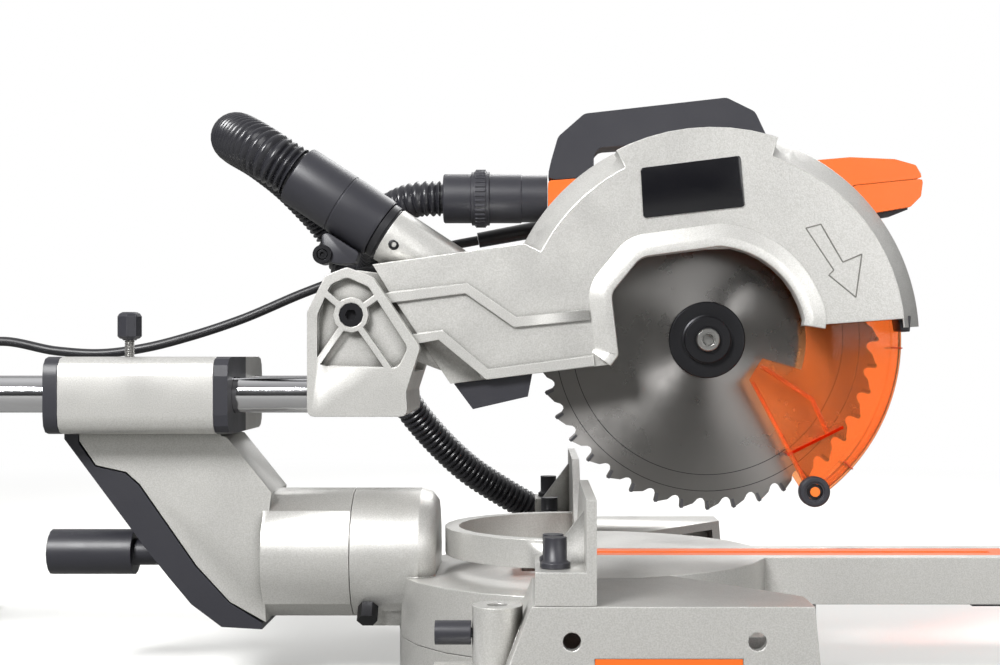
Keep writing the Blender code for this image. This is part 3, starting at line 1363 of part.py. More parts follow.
def add_blade_group():
    steel = paint("blade steel", (0.55, 0.55, 0.55), 0.3, 1.0)
    dark = paint("flange steel", (0.16, 0.16, 0.17), 0.35, 1.0)
    centre = (BLADE_X, BLADE_AXIS.z)
    points = []
    step = 360.0 / BLADE_TEETH
    for i in range(BLADE_TEETH):
        for share, radius in ((0.0, BLADE_RADIUS - BLADE_GULLET), (0.6, BLADE_RADIUS)):
            turn = math.radians((i + share) * step)
            points.append((centre[0] + radius * math.cos(turn), centre[1] + radius * math.sin(turn)))
    blade = piece("blade", prism(points, -BLADE_BODY / 2, BLADE_BODY / 2), steel, BLADE_AXIS)
    cut(
        blade,
        rod(BLADE_AXIS - OVERRUN * AXIS_Y, BLADE_AXIS + OVERRUN * AXIS_Y, BLADE_BORE, HOLE_STEPS),
    )
    near = -BLADE_BODY / 2 - GAP
    hub = near - FLANGE_THICKNESS
    boss = hub - FLANGE_HUB_HEIGHT
    bolt = boss - BLADE_BOLT_HEIGHT
    flange = turned(
        [
            (0.0, near),
            (FLANGE_RADIUS, near),
            (FLANGE_RADIUS, hub),
            (FLANGE_HUB_RADIUS, hub),
            (FLANGE_HUB_RADIUS - GAP, boss),
            (BLADE_BOLT_RADIUS, boss),
            (BLADE_BOLT_RADIUS, bolt),
            (0.0, bolt),
        ],
        BLADE_AXIS,
        AXIS_Y,
        ROUND_STEPS,
    )
    flange_obj = piece("outer_flange", flange, dark, BLADE_AXIS)
    socket = rod(
        BLADE_AXIS + (bolt - OVERRUN) * AXIS_Y, BLADE_AXIS + (bolt + SOCKET_DEPTH) * AXIS_Y, SOCKET_RADIUS, 6
    )
    cut(flange_obj, socket)
    inner = BLADE_BODY / 2 + GAP
    spindle = turned(
        [
            (0.0, -BLADE_BODY / 2),
            (BLADE_BORE - GAP, -BLADE_BODY / 2),
            (BLADE_BORE - GAP, inner),
            (FLANGE_HUB_RADIUS, inner),
            (FLANGE_HUB_RADIUS, inner + FLANGE_THICKNESS - GAP),
            (SPINDLE_RADIUS, inner + FLANGE_THICKNESS - GAP),
            (SPINDLE_RADIUS, SPINDLE_END),
            (0.0, SPINDLE_END),
        ],
        BLADE_AXIS,
        AXIS_Y,
        HOLE_STEPS,
    )
    spindle_obj = piece("spindle", spindle, steel, BLADE_AXIS)
    line = math.radians(MOTOR_ANGLE)
    wheel = [
        (centre[0] + u, centre[1] + v)
        for u, v in gear(GEAR_TEETH, line)
    ]
    join(spindle_obj, prism(wheel, GEAR_Y, GEAR_Y + GEAR_WIDTH))
    armature = turned(
        [
            (0.0, GEAR_Y),
            (ARMATURE_SHAFT - GAP, GEAR_Y),
            (ARMATURE_SHAFT - GAP, ARMATURE_START),
            (ARMATURE_RADIUS, ARMATURE_START),
            (ARMATURE_RADIUS, ARMATURE_END),
            (ARMATURE_SHAFT, ARMATURE_END),
            (ARMATURE_SHAFT, MOTOR_END - 2 * MOTOR_WALL),
            (0.0, MOTOR_END - 2 * MOTOR_WALL),
        ],
        MOTOR_AXIS,
        AXIS_Y,
        16,
    )
    armature_obj = piece("armature", armature, dark, MOTOR_AXIS)
    pinion_phase = line + math.pi + math.pi / PINION_TEETH
    pinion = [
        (MOTOR_AXIS.x + u, MOTOR_AXIS.z + v)
        for u, v in gear(PINION_TEETH, pinion_phase)
    ]
    join(armature_obj, prism(pinion, GEAR_Y - GAP, GEAR_Y + GEAR_WIDTH + GAP))


def capsule(first, second, first_radius, second_radius, steps=8):
    """The outline of two circles and the lines that join them."""
    a = Vector(first)
    b = Vector(second)
    heading = math.degrees(math.atan2((b - a).y, (b - a).x))
    lean = math.degrees(math.asin((first_radius - second_radius) / (b - a).length))
    start = heading + 90.0 - lean
    one = arc(first, first_radius, start, heading + 270.0 + lean, steps)
    two = arc(second, second_radius, heading - 90.0 + lean, heading + 90.0 - lean, steps)
    return one + two


def add_drive_housing():
    silver = paint("gear case aluminium", (0.58, 0.58, 0.56), 0.4, 0.7)
    black = paint("motor housing plastic", (0.06, 0.06, 0.07), 0.5)
    centre = (BLADE_X, BLADE_AXIS.z)
    motor = (MOTOR_AXIS.x, MOTOR_AXIS.z)
    outline = capsule(centre, motor, CASE_RADIUS, MOTOR_RADIUS)
    plate_far = GUARD_FAR + CASE_WALL
    nose = turned(
        [
            (SPINDLE_RADIUS + RUNNING, NOSE_NEAR),
            (NOSE_RADIUS, NOSE_NEAR),
            (NOSE_RADIUS, GUARD_FAR + GAP),
            (PLATE_RADIUS, GUARD_FAR + GAP),
            (PLATE_RADIUS, plate_far),
            (SPINDLE_RADIUS + RUNNING, plate_far),
        ],
        BLADE_AXIS,
        AXIS_Y,
        FINE_STEPS,
    )
    case = piece("gear_case", nose, silver, PIVOT_AXIS)
    join(case, prism(outline, GUARD_FAR + CASE_WALL / 2, CASE_FAR))
    inner = capsule(centre, motor, CASE_RADIUS - CASE_WALL, MOTOR_RADIUS - 2 * CASE_WALL)
    cut(case, prism(inner, GEAR_Y - CASE_WALL, CASE_FAR + OVERRUN))
    spindle_bore = rod(
        BLADE_AXIS + (plate_far - CASE_WALL) * AXIS_Y,
        BLADE_AXIS + GEAR_Y * AXIS_Y,
        SPINDLE_RADIUS + 2 * RUNNING,
        ROUND_STEPS,
    )
    button_hole = rod(
        (BLADE_X, LOCK_BUTTON_Y, BLADE_AXIS.z),
        (BLADE_X + CASE_RADIUS + OVERRUN, LOCK_BUTTON_Y, BLADE_AXIS.z),
        LOCK_BUTTON_RADIUS + RUNNING,
        HOLE_STEPS,
    )
    cut(case, spindle_bore, button_hole)
    housing = rod(
        (motor[0], CASE_FAR + CASE_WALL, motor[1]), (motor[0], MOTOR_END, motor[1]), MOTOR_RADIUS, ROUND_STEPS
    )
    motor_obj = piece("motor_housing", housing, black, PIVOT_AXIS)
    cover = prism(outline, CASE_FAR + GAP, CASE_FAR + 2 * CASE_WALL)
    face = RELIEF_START - GAP * RELIEF_DIRECTION
    across = 4 * CASE_WALL * Vector((RELIEF_DIRECTION.z, 0.0, -RELIEF_DIRECTION.x))
    gland_outline = [
        (face.x - across.x, face.z - across.z),
        (face.x + 0.7 * across.x, face.z + 0.7 * across.z),
        (motor[0], face.z + 0.7 * across.z),
        (motor[0], motor[1]),
        (motor[0] - 0.7 * MOTOR_RADIUS, motor[1]),
    ]
    gland = prism(gland_outline, RELIEF_START.y - 4 * CASE_WALL, RELIEF_START.y + 4 * CASE_WALL)
    join(motor_obj, cover, gland)
    bore = turned(
        [
            (0.0, CASE_FAR - OVERRUN),
            (ARMATURE_SHAFT + RUNNING, CASE_FAR - OVERRUN),
            (ARMATURE_SHAFT + RUNNING, CASE_FAR + 2 * CASE_WALL),
            (MOTOR_RADIUS - MOTOR_WALL, CASE_FAR + 2 * CASE_WALL),
            (MOTOR_RADIUS - MOTOR_WALL, MOTOR_END - 2 * MOTOR_WALL),
            (ARMATURE_SHAFT + RUNNING, MOTOR_END - 2 * MOTOR_WALL),
            (ARMATURE_SHAFT + RUNNING, MOTOR_END - MOTOR_WALL),
            (0.0, MOTOR_END - MOTOR_WALL),
        ],
        MOTOR_AXIS - MOTOR_AXIS.y * AXIS_Y,
        AXIS_Y,
        ROUND_STEPS,
    )
    cut(motor_obj, bore)


def add_lower_guard():
    amber = paint("amber guard plastic", (0.85, 0.20, 0.02), 0.1, 0.0, 0.5)
    black = paint("roller plastic", (0.04, 0.04, 0.045), 0.4)
    centre = (BLADE_X, BLADE_AXIS.z)
    far_outline = ring_sector(centre, LOWER_RADIUS, LOWER_HUB, LOWER_LEAD_ANGLE, LOWER_TRAIL_ANGLE, 20)
    near_outline = (
        arc(centre, LOWER_RADIUS, LOWER_LEAD_ANGLE, LOWER_TRAIL_ANGLE, 20)
        + arc(centre, LOWER_INNER, LOWER_TRAIL_ANGLE, LOWER_STEP_ANGLE, 14)
        + [
            (centre[0] + LOWER_CORNER * math.cos(a), centre[1] + LOWER_CORNER * math.sin(a))
            for a in np.radians([LOWER_STEP_ANGLE, LOWER_CORNER_ANGLE])
        ]
    )
    rim_outline = ring_sector(
        centre,
        LOWER_RADIUS - GAP,
        LOWER_RADIUS - LOWER_SHEET,
        LOWER_LEAD_ANGLE + GUARD_EDGE_TURN,
        LOWER_TRAIL_ANGLE - GUARD_EDGE_TURN,
        20,
    )
    guard = piece(
        "lower_guard", prism(near_outline, -LOWER_HALF, -LOWER_HALF + LOWER_SHEET), amber, BLADE_AXIS
    )
    rim = prism(rim_outline, -LOWER_HALF + LOWER_SHEET / 2, LOWER_HALF - LOWER_SHEET / 2)
    far = prism(far_outline, LOWER_HALF - LOWER_SHEET, LOWER_HALF)
    collar = turned(
        [
            (NOSE_RADIUS + RUNNING, LOWER_HALF - LOWER_SHEET - GAP),
            (LOWER_HUB + LOWER_SHEET, LOWER_HALF - LOWER_SHEET - GAP),
            (LOWER_HUB + LOWER_SHEET, LOWER_HALF + GAP),
            (NOSE_RADIUS + RUNNING, LOWER_HALF + GAP),
        ],
        BLADE_AXIS,
        AXIS_Y,
        FINE_STEPS,
    )
    join(guard, rim, far, collar)
    turn = math.radians(ROLLER_ANGLE)
    spot = BLADE_AXIS + ROLLER_REACH * Vector((math.cos(turn), 0.0, math.sin(turn)))
    face = spot - (LOWER_HALF + GAP) * AXIS_Y
    roller = turned(
        [
            (ROLLER_PIN_RADIUS + GAP, 0.0),
            (ROLLER_RADIUS, 0.0),
            (ROLLER_RADIUS, ROLLER_WIDTH),
            (ROLLER_PIN_RADIUS + GAP, ROLLER_WIDTH),
        ],
        face,
        -AXIS_Y,
        24,
    )
    piece("guard_roller", roller, black, face)
    pin = rod(
        spot - (LOWER_HALF - LOWER_SHEET / 2) * AXIS_Y,
        spot - (LOWER_HALF + ROLLER_WIDTH + 2 * GAP) * AXIS_Y,
        ROLLER_PIN_RADIUS,
        16,
    )
    join(guard, pin)


def add_handles():
    black = paint("handle plastic", (0.05, 0.05, 0.06), 0.45)
    orange = paint("handle orange", (0.87, 0.25, 0.03), 0.4)
    grey = paint("trigger plastic", (0.18, 0.18, 0.19), 0.45)
    outline = scaled(CARRY_SHARES, CARRY_SCALE, (CARRY_X, CARRY_Z))
    carry = prism(rounded(outline, CARRY_SCALE / 24, 2), CARRY_NEAR, CARRY_FAR)
    piece("carry_handle", carry, black, PIVOT_AXIS)
    outline = rounded(scaled(FRONT_HANDLE_SHARES, HANDLE_REACH), HANDLE_FAR / 24, 2)
    handle = piece("front_handle", prism(outline, HANDLE_NEAR, HANDLE_FAR), orange, PIVOT_AXIS)
    port_bore = rod(
        (COUPLING_RIGHT_X - OVERRUN, COUPLING_LEFT.y, COUPLING_LEFT.z),
        (PORT_X, COUPLING_LEFT.y, COUPLING_LEFT.z),
        PORT_RADIUS,
        HOLE_STEPS,
    )
    side_bore = rod(
        (PORT_X, HANDLE_NEAR - OVERRUN, PORT_Z), (PORT_X, COUPLING_LEFT.y, PORT_Z), PORT_RADIUS, HOLE_STEPS
    )
    cut(handle, port_bore, side_bore)
    outline = rounded(scaled(HANDLE_GRIP_SHARES, HANDLE_REACH), HANDLE_FAR / 24, 2)
    grip = piece("handle_grip", prism(outline, HANDLE_NEAR, HANDLE_FAR), orange, PIVOT_AXIS)
    outline = scaled(TRIGGER_SHARES, HANDLE_REACH)
    root = Vector((outline[0][0], 0.0, outline[0][1]))
    slot = [
        (outline[0][0] - 2 * RUNNING, outline[-1][1] - OVERRUN),
        (outline[0][0] - 2 * RUNNING, outline[0][1] + 2 * RUNNING),
        (outline[1][0] + 3 * RUNNING, outline[1][1] + TRIGGER_RISE + RUNNING),
        (outline[2][0] + 3 * RUNNING, outline[-1][1] - OVERRUN),
    ]
    cut(grip, prism(slot, TRIGGER_NEAR - RUNNING, TRIGGER_FAR + RUNNING))
    piece("trigger", prism(outline, TRIGGER_NEAR, TRIGGER_FAR), grey, root)
    start = Vector((BLADE_X + CASE_RADIUS - LOCK_BUTTON_INSET, LOCK_BUTTON_Y, BLADE_AXIS.z))
    button = rod(start, start + LOCK_BUTTON_LENGTH * AXIS_X, LOCK_BUTTON_RADIUS, HOLE_STEPS)
    piece("spindle_lock_button", button, black, start)


def add_dust_system():
    black = paint("cuff plastic", (0.045, 0.045, 0.05), 0.45)
    hose_black = paint("hose rubber", (0.03, 0.03, 0.03), 0.3)
    bore = DUCT_RADIUS - DUCT_WALL
    cuff = turned(
        [
            (bore, -CUFF_BAND + GAP),
            (DUCT_RADIUS + CUFF_WALL / 2, -CUFF_BAND + GAP),
            (DUCT_RADIUS + CUFF_WALL / 2, 0.0),
            (CUFF_RADIUS, 0.0),
            (CUFF_RADIUS, CUFF_LENGTH),
            (bore, CUFF_LENGTH),
        ],
        CUFF_FOOT,
        CUFF_DIRECTION,
        ROUND_STEPS,
    )
    piece("exhaust_cuff", cuff, black, PIVOT_AXIS)
    inlet = JUNCTION + JUNCTION_LENGTH * JUNCTION_TO_DUST
    top = CUFF_TOP + 2 * GAP * CUFF_DIRECTION
    route = [
        *straight_end(top, CUFF_DIRECTION, DUST_HOSE_RADIUS)[::-1],
        *DUST_ROUTE,
        *straight_end(inlet + GAP * JUNCTION_TO_DUST, JUNCTION_TO_DUST, DUST_HOSE_RADIUS),
    ]
    ribbed_hose(
        "dust_hose", route, DUST_HOSE_ROOT, DUST_HOSE_RADIUS, DUST_HOSE_BORE, DUST_HOSE_PITCH, hose_black
    )
    arms = (
        (JUNCTION_TO_DUST, DUST_HOSE_ROOT, DUST_HOSE_BORE),
        (JUNCTION_TO_PORT, PORT_HOSE_RADIUS, PORT_HOSE_BORE),
        (JUNCTION_TO_OUTLET, PORT_HOSE_RADIUS, PORT_HOSE_BORE),
    )
    shells = [
        rod(JUNCTION + radius / 3 * way, JUNCTION + JUNCTION_LENGTH * way, radius, 12) for way, radius, _ in arms
    ]
    bores = [
        rod(JUNCTION + hollow / 3 * way, JUNCTION + (JUNCTION_LENGTH + OVERRUN) * way, hollow, HOLE_STEPS)
        for way, _, hollow in arms
    ]
    junction = piece("hose_junction", ball(JUNCTION, 1.04 * DUST_HOSE_ROOT), black, PIVOT_AXIS)
    join(junction, *shells)
    cut(junction, ball(JUNCTION, 0.96 * DUST_HOSE_BORE), *bores)
    coupling_end = Vector((COUPLING_RIGHT_X, COUPLING_LEFT.y, COUPLING_LEFT.z))
    ring_at = 0.34 * COUPLING_LENGTH
    length = (coupling_end - COUPLING_LEFT).length
    profile = [
        (PORT_HOSE_BORE, 0.0),
        (COUPLING_RADIUS * 0.86, 0.0),
        (COUPLING_RADIUS * 0.86, ring_at),
        (COUPLING_RING_RADIUS, ring_at),
        (COUPLING_RING_RADIUS, ring_at + COUPLING_RING_LENGTH),
        (COUPLING_RADIUS, ring_at + COUPLING_RING_LENGTH),
        (COUPLING_RADIUS, length),
        (PORT_RADIUS, length),
        (PORT_RADIUS, length - COUPLING_RING_LENGTH),
        (PORT_HOSE_BORE, length - 2 * COUPLING_RING_LENGTH),
    ]
    piece("port_coupling", turned(profile, COUPLING_LEFT, AXIS_X, 16), black, PIVOT_AXIS)
    start = COUPLING_LEFT - GAP * AXIS_X
    port_end = JUNCTION + (JUNCTION_LENGTH + GAP) * JUNCTION_TO_PORT
    route = [
        *straight_end(start, -AXIS_X, PORT_HOSE_RADIUS)[::-1],
        *PORT_ROUTE,
        *straight_end(port_end, JUNCTION_TO_PORT, PORT_HOSE_RADIUS),
    ]
    ribbed_hose(
        "port_hose", route, PORT_HOSE_ROOT, PORT_HOSE_RADIUS, PORT_HOSE_BORE, PORT_HOSE_PITCH, hose_black
    )
    outlet = JUNCTION + (JUNCTION_LENGTH + GAP) * JUNCTION_TO_OUTLET
    route = [
        *straight_end(outlet, JUNCTION_TO_OUTLET, PORT_HOSE_RADIUS)[::-1],
        *OUTLET_ROUTE,
        *straight_end(CONNECTOR_START - GAP * AXIS_X, -AXIS_X, PORT_HOSE_RADIUS),
    ]
    ribbed_hose(
        "outlet_hose", route, PORT_HOSE_ROOT, PORT_HOSE_RADIUS, PORT_HOSE_BORE, OUTLET_HOSE_PITCH, hose_black
    )
    connector = turned(
        [
            (PORT_HOSE_BORE, 0.0),
            (CONNECTOR_RADIUS, 0.0),
            (CONNECTOR_RADIUS * 0.92, CONNECTOR_LENGTH),
            (PORT_HOSE_BORE, CONNECTOR_LENGTH),
        ],
        CONNECTOR_START,
        AXIS_X,
        16,
    )
    piece("hose_connector", connector, black)


def least_gap(points, radius, skip):
    """The least space between one stretch of a wound tube and another."""
    array = np.array(points)
    least = 1.0
    for i in range(len(array) - skip):
        apart = np.linalg.norm(array[i + skip :] - array[i], axis=1)
        least = min(least, float(apart.min()))
    return least - 2 * radius


def add_cord():
    rubber = paint("cord rubber", (0.03, 0.03, 0.03), 0.5)
    relief = turned(
        [
            (0.0, 0.0),
            (RELIEF_RADIUS, 0.0),
            (RELIEF_RADIUS * 0.9, RELIEF_LENGTH),
            (0.0, RELIEF_LENGTH),
        ],
        RELIEF_START,
        RELIEF_DIRECTION,
        16,
    )
    piece("strain_relief", relief, rubber, PIVOT_AXIS)
    spacing = 2.3 * CORD_RADIUS
    per_layer = CORD_TURNS // CORD_LAYERS
    loop_points = 24
    coil = []
    inner = CORD_COIL_RADIUS - spacing * (per_layer - 1) / 2
    total = CORD_TURNS * loop_points
    for i in range(total + 1):
        turn = i / loop_points
        layer = min(int(turn / per_layer), CORD_LAYERS - 1)
        along = turn - layer * per_layer
        outward = along if layer % 2 else per_layer - along
        radius = inner + spacing * (outward - 0.5)
        climb = min(1.0, max(0.0, (turn - per_layer) * 2 + 0.5))
        height = CORD_RADIUS * 1.1 + spacing * climb
        angle = 2 * math.pi * turn
        coil.append(
            (COIL_CENTRE.x + radius * math.cos(angle), COIL_CENTRE.y + radius * math.sin(angle), height)
        )
    tail = 0.30 * CORD_COIL_RADIUS
    for i in range(1, 5):
        coil.append((coil[total][0], coil[total][1] + i * tail, coil[total][2]))
    gap = least_gap(coil, CORD_RADIUS, loop_points // 2)
    print(f"cord coil's least gap to itself {gap * 1000:.2f} mm")
    back = (Vector(coil[0]) - Vector(coil[1])).normalized()
    arrival = (LEAD_IN_START - Vector(CORD_ROUTE[-1])).normalized()
    route = [
        *straight_end(LEAD_IN_START, arrival, 2 * CORD_RADIUS)[::-1],
        *LEAD_IN_ROUTE,
        *straight_end(Vector(coil[0]), back, 4 * CORD_RADIUS),
    ]
    lead_in, length = smooth_route(route, 3 * CORD_RADIUS)
    print(f"lead-in {length:.3f} m")
    coil = [*(tuple(p) for p in lead_in[:-1]), *coil]
    piece("cord_coil", tube("coil", coil, CORD_RADIUS, 1), rubber, sharp=60.0)
    start = RELIEF_START + (RELIEF_LENGTH + GAP) * RELIEF_DIRECTION
    route = [
        *straight_end(start, RELIEF_DIRECTION, 4 * CORD_RADIUS)[::-1],
        *CORD_ROUTE,
        *straight_end(LEAD_IN_START - arrival * GAP, -arrival, 2 * CORD_RADIUS),
    ]
    points, length = smooth_route(route, 5.5 * CORD_RADIUS)
    piece("power_cord", tube("cord", points, CORD_RADIUS, 1), rubber, sharp=60.0)
    print(f"power cord free length {length:.3f} m, {len(points)} points")
    entry = Vector(coil[-1]) + GAP * AXIS_Y
    half = entry.z
    outline = rounded([(-half, -half), (half, -half), (half, half), (-half, half)], half / 3, 2)
    outline = [(entry.x + u, entry.z + v) for u, v in outline]
    plug = piece("plug", prism(outline, entry.y, entry.y + PLUG_BODY), rubber)
    for side in (-1, 1):
        root = entry + (PLUG_BODY - PLUG_PIN_LENGTH / 4) * AXIS_Y + side * PLUG_PIN_SPACING / 2 * AXIS_X
        join(plug, rod(root, root + PLUG_PIN_LENGTH * 5 / 4 * AXIS_Y, PLUG_PIN_RADIUS, 12))


def add_saw():
    for old in list(bpy.data.objects):
        bpy.data.objects.remove(old, do_unlink=True)
    frame = bpy.data.objects.new("frame", None)
    bpy.context.collection.objects.link(frame)
    parts["frame"] = frame
    add_base()
    add_base_fittings()
    add_fence()
    add_turntable()
    add_bevel_arm()
    add_carriage()
    add_head_casting()
    add_drive_housing()
    add_blade_group()
    add_lower_guard()
    add_handles()
    add_dust_system()
    add_cord()
    for name, obj in parts.items():
        if name != "frame" and obj.modifiers:
            weld = obj.modifiers.new("weld", "WELD")
            weld.merge_threshold = GAP / 10
    frame.location.x = -REACH_MIDDLE


add_saw()
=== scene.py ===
import json
import math
import bmesh
import bpy
import numpy as np
from mathutils import Matrix, Vector


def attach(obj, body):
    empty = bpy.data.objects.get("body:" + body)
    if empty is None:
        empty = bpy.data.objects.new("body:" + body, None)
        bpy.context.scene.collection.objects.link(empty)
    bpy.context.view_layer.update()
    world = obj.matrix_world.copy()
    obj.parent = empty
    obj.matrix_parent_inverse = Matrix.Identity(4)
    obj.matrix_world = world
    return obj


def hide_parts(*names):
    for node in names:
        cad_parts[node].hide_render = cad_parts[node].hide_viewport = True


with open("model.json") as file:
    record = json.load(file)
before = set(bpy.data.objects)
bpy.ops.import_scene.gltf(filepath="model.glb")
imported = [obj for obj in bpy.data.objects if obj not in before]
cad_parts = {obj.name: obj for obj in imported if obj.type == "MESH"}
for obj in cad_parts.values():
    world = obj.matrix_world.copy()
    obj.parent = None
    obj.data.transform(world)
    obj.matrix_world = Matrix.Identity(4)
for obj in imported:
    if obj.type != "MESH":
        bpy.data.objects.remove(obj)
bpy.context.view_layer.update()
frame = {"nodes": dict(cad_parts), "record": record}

mm = 0.001
tableMiddle = 0.11065          # the turntable's axis stands this far along X
bladeAxis = Vector((0.20365, 0.0, 0.250))
along = Vector((1, 0, 0))
inward = Vector((0, 1, 0))
upward = Vector((0, 0, 1))


# Camera, as the photograph was taken
camera = bpy.data.objects.new("camera", bpy.data.cameras.new("camera"))
bpy.context.collection.objects.link(camera)
camera.location = (0.07565, -1.130, 0.238)
camera.rotation_euler = (math.radians(90), 0, 0)
camera.data.lens = 54.47
camera.data.sensor_width = 36
camera.data.shift_x = -0.035
camera.data.shift_y = 0.0235
camera.data.clip_start = 0.01
bpy.context.scene.camera = camera
print("camera placed")


# Colours and materials
def colour(code):
    """Linear colour from a six-figure sRGB code."""
    parts = [int(code[i:i + 2], 16) / 255 for i in (0, 2, 4)]
    return tuple(p / 12.92 if p < 0.04045 else ((p + 0.055) / 1.055) ** 2.4 for p in parts) + (1,)


def addNode(material, kind, sockets={}, **settings):
    node = material.node_tree.nodes.new("ShaderNode" + kind)
    for name, value in settings.items():
        setattr(node, name, value)
    for name, value in sockets.items():
        if isinstance(value, bpy.types.NodeSocket):
            material.node_tree.links.new(value, node.inputs[name])
        else:
            node.inputs[name].default_value = value
    return node


def makeFinish(name, facts):
    """A surface with mottled colour, fine grain, eased edges, a little edge wear and, where asked, painted
    shade darkening its hollows, at its real scale.
    """
    material = bpy.data.materials.new(name)
    material.use_nodes = True
    tree = material.node_tree
    tree.nodes.clear()
    place = addNode(material, "TexCoord").outputs["Object"]
    broad = addNode(material, "TexNoise", {
        "Vector": place, "Scale": 1 / facts["mottleSize"], "Detail": 4, "Roughness": 0.6})
    fine = addNode(material, "TexNoise", {
        "Vector": place, "Scale": 1 / facts["grainSize"], "Detail": 3, "Roughness": 0.55})
    speck = addNode(material, "MapRange", {
        "Value": fine.outputs["Fac"], "From Min": 0.35, "From Max": 0.65,
        "To Min": -facts["speckle"], "To Max": facts["speckle"]})
    blendShare = addNode(material, "Math", {0: broad.outputs["Fac"], 1: speck.outputs[0]}, operation="ADD")
    body = addNode(material, "Mix", {
        0: blendShare.outputs[0], 6: colour(facts["colour"]), 7: colour(facts["mottle"])},
        data_type="RGBA", clamp_factor=True)
    # Painted shade: ambient occlusion darkens the colour towards 3A3830 in hollows and crevices, standing in
    # for the shade that falls there.
    if facts.get("grime"):
        hollow = addNode(material, "AmbientOcclusion", {"Distance": facts["paintedShadeReach"]},
                         samples=4, only_local=True)
        depth = addNode(material, "MapRange", {
            "Value": hollow.outputs["AO"], "From Min": 0.35, "From Max": 0.85,
            "To Min": facts["grime"], "To Max": 0})
        body = addNode(material, "Mix", {
            0: depth.outputs[0], 6: body.outputs[2], 7: colour("3A3830")}, data_type="RGBA")
    flat = addNode(material, "NewGeometry").outputs["Normal"]
    eased = flat
    if facts["easing"]:
        eased = addNode(material, "Bevel", {"Radius": facts["easing"]}, samples=4).outputs[0]
    facing = addNode(material, "VectorMath", {0: eased, 1: flat}, operation="DOT_PRODUCT")
    edge = addNode(material, "MapRange", {
        "Value": facing.outputs["Value"], "From Min": 0.985, "From Max": 0.90,
        "To Min": 0, "To Max": facts["wear"]})
    worn = addNode(material, "Mix", {
        0: edge.outputs[0], 6: body.outputs[2], 7: colour(facts["worn"])}, data_type="RGBA")
    rough = addNode(material, "MapRange", {
        "Value": broad.outputs["Fac"], "From Min": 0.3, "From Max": 0.7,
        "To Min": facts["roughness"] - 0.06, "To Max": facts["roughness"] + 0.06})
    bump = addNode(material, "Bump", {
        "Strength": 1, "Distance": facts["grainDepth"], "Height": fine.outputs["Fac"],
        "Normal": eased})
    shader = addNode(material, "BsdfPrincipled", {
        "Base Color": worn.outputs[2], "Roughness": rough.outputs[0], "Normal": bump.outputs[0],
        "Metallic": facts.get("metallic", 0), "IOR": facts.get("ior", 1.5),
        "Coat Weight": facts.get("coat", 0), "Coat Roughness": 0.08,
        "Anisotropic": facts.get("anisotropic", 0)})
    if facts.get("radial"):
        tangent = addNode(material, "Tangent", direction_type="RADIAL", axis="Y")
        tree.links.new(tangent.outputs[0], shader.inputs["Tangent"])
    addNode(material, "OutputMaterial", {"Surface": shader.outputs[0]})
    return material


plain = {"mottleSize": 40 * mm, "grainSize": 0.5 * mm, "speckle": 0.1, "wear": 0.25, "easing": 0.6 * mm}
finishes = {
    # Cast aluminium gets painted shade in its hollows through the occlusion settings on its last line.
    "castAluminium": {"colour": "CDCCC9", "mottle": "BDBCB8", "worn": "F2F1EE", "roughness": 0.38,
        "metallic": 0.6, "grainDepth": 0.12 * mm, "grainSize": 0.9 * mm, "speckle": 0.6,
        "easing": 1.1 * mm, "wear": 0.5, "grime": 0.85, "paintedShadeReach": 9 * mm},
    "greyCasting": {"colour": "7D7C77", "mottle": "6C6B66", "worn": "A9A8A2", "roughness": 0.5,
        "metallic": 0.4, "grainDepth": 0.10 * mm, "grainSize": 0.9 * mm, "speckle": 0.4},
    "blackNylon": {"colour": "2D2D33", "mottle": "25252B", "worn": "5C5C65", "roughness": 0.42,
        "grainDepth": 0.05 * mm, "grainSize": 0.5 * mm},
    "glossBlackPlastic": {"colour": "141418", "mottle": "101013", "worn": "2A2A2E", "roughness": 0.16,
        "grainDepth": 0.004 * mm},
    "orangeAbs": {"colour": "E8681C", "mottle": "DE6018", "worn": "F28A4C", "roughness": 0.38,
        "grainDepth": 0.03 * mm, "grainSize": 0.4 * mm},
    "rollerOrange": {"colour": "F07A2C", "mottle": "E87226", "worn": "F8A468", "roughness": 0.35,
        "grainDepth": 0.02 * mm, "easing": 0.2 * mm},
    "chromedSteel": {"colour": "D4D4D6", "mottle": "CBCBCE", "worn": "E8E8EA", "roughness": 0.12,
        "metallic": 1.0, "grainDepth": 0.003 * mm, "easing": 0.2 * mm},
    "zincSteel": {"colour": "A9A8A6", "mottle": "8F8E8B", "worn": "CFCECC", "roughness": 0.33,
        "metallic": 0.9, "grainDepth": 0.01 * mm, "easing": 0.25 * mm},
    "blackedSteel": {"colour": "2A2A2D", "mottle": "1E1E20", "worn": "5A5A5E", "roughness": 0.38,
        "metallic": 0.7, "grainDepth": 0.01 * mm, "easing": 0.25 * mm},
    "groundBlade": {"colour": "8C8A88", "mottle": "868482", "worn": "DDDDE0", "roughness": 0.30, "speckle": 0,
        "metallic": 1.0, "grainDepth": 0, "anisotropic": 0.9, "radial": True, "easing": 0},
    "carbide": {"colour": "6E6E72", "mottle": "5A5A5E", "worn": "8E8E92", "roughness": 0.3,
        "metallic": 0.8, "grainDepth": 0.01 * mm, "easing": 0.1 * mm},
    "moulding": {"colour": "1E1E22", "mottle": "17171A", "worn": "3A3A3E", "roughness": 0.42,
        "grainDepth": 0.02 * mm, "easing": 0.3 * mm},
    "hoseRubber": {"colour": "2B2B30", "mottle": "222226", "worn": "4C4C54", "roughness": 0.27,
        "grainDepth": 0.01 * mm, "easing": 0.3 * mm, "speckle": 0.2},
}
materials = {name: makeFinish(name, {**plain, **facts}) for name, facts in finishes.items()}


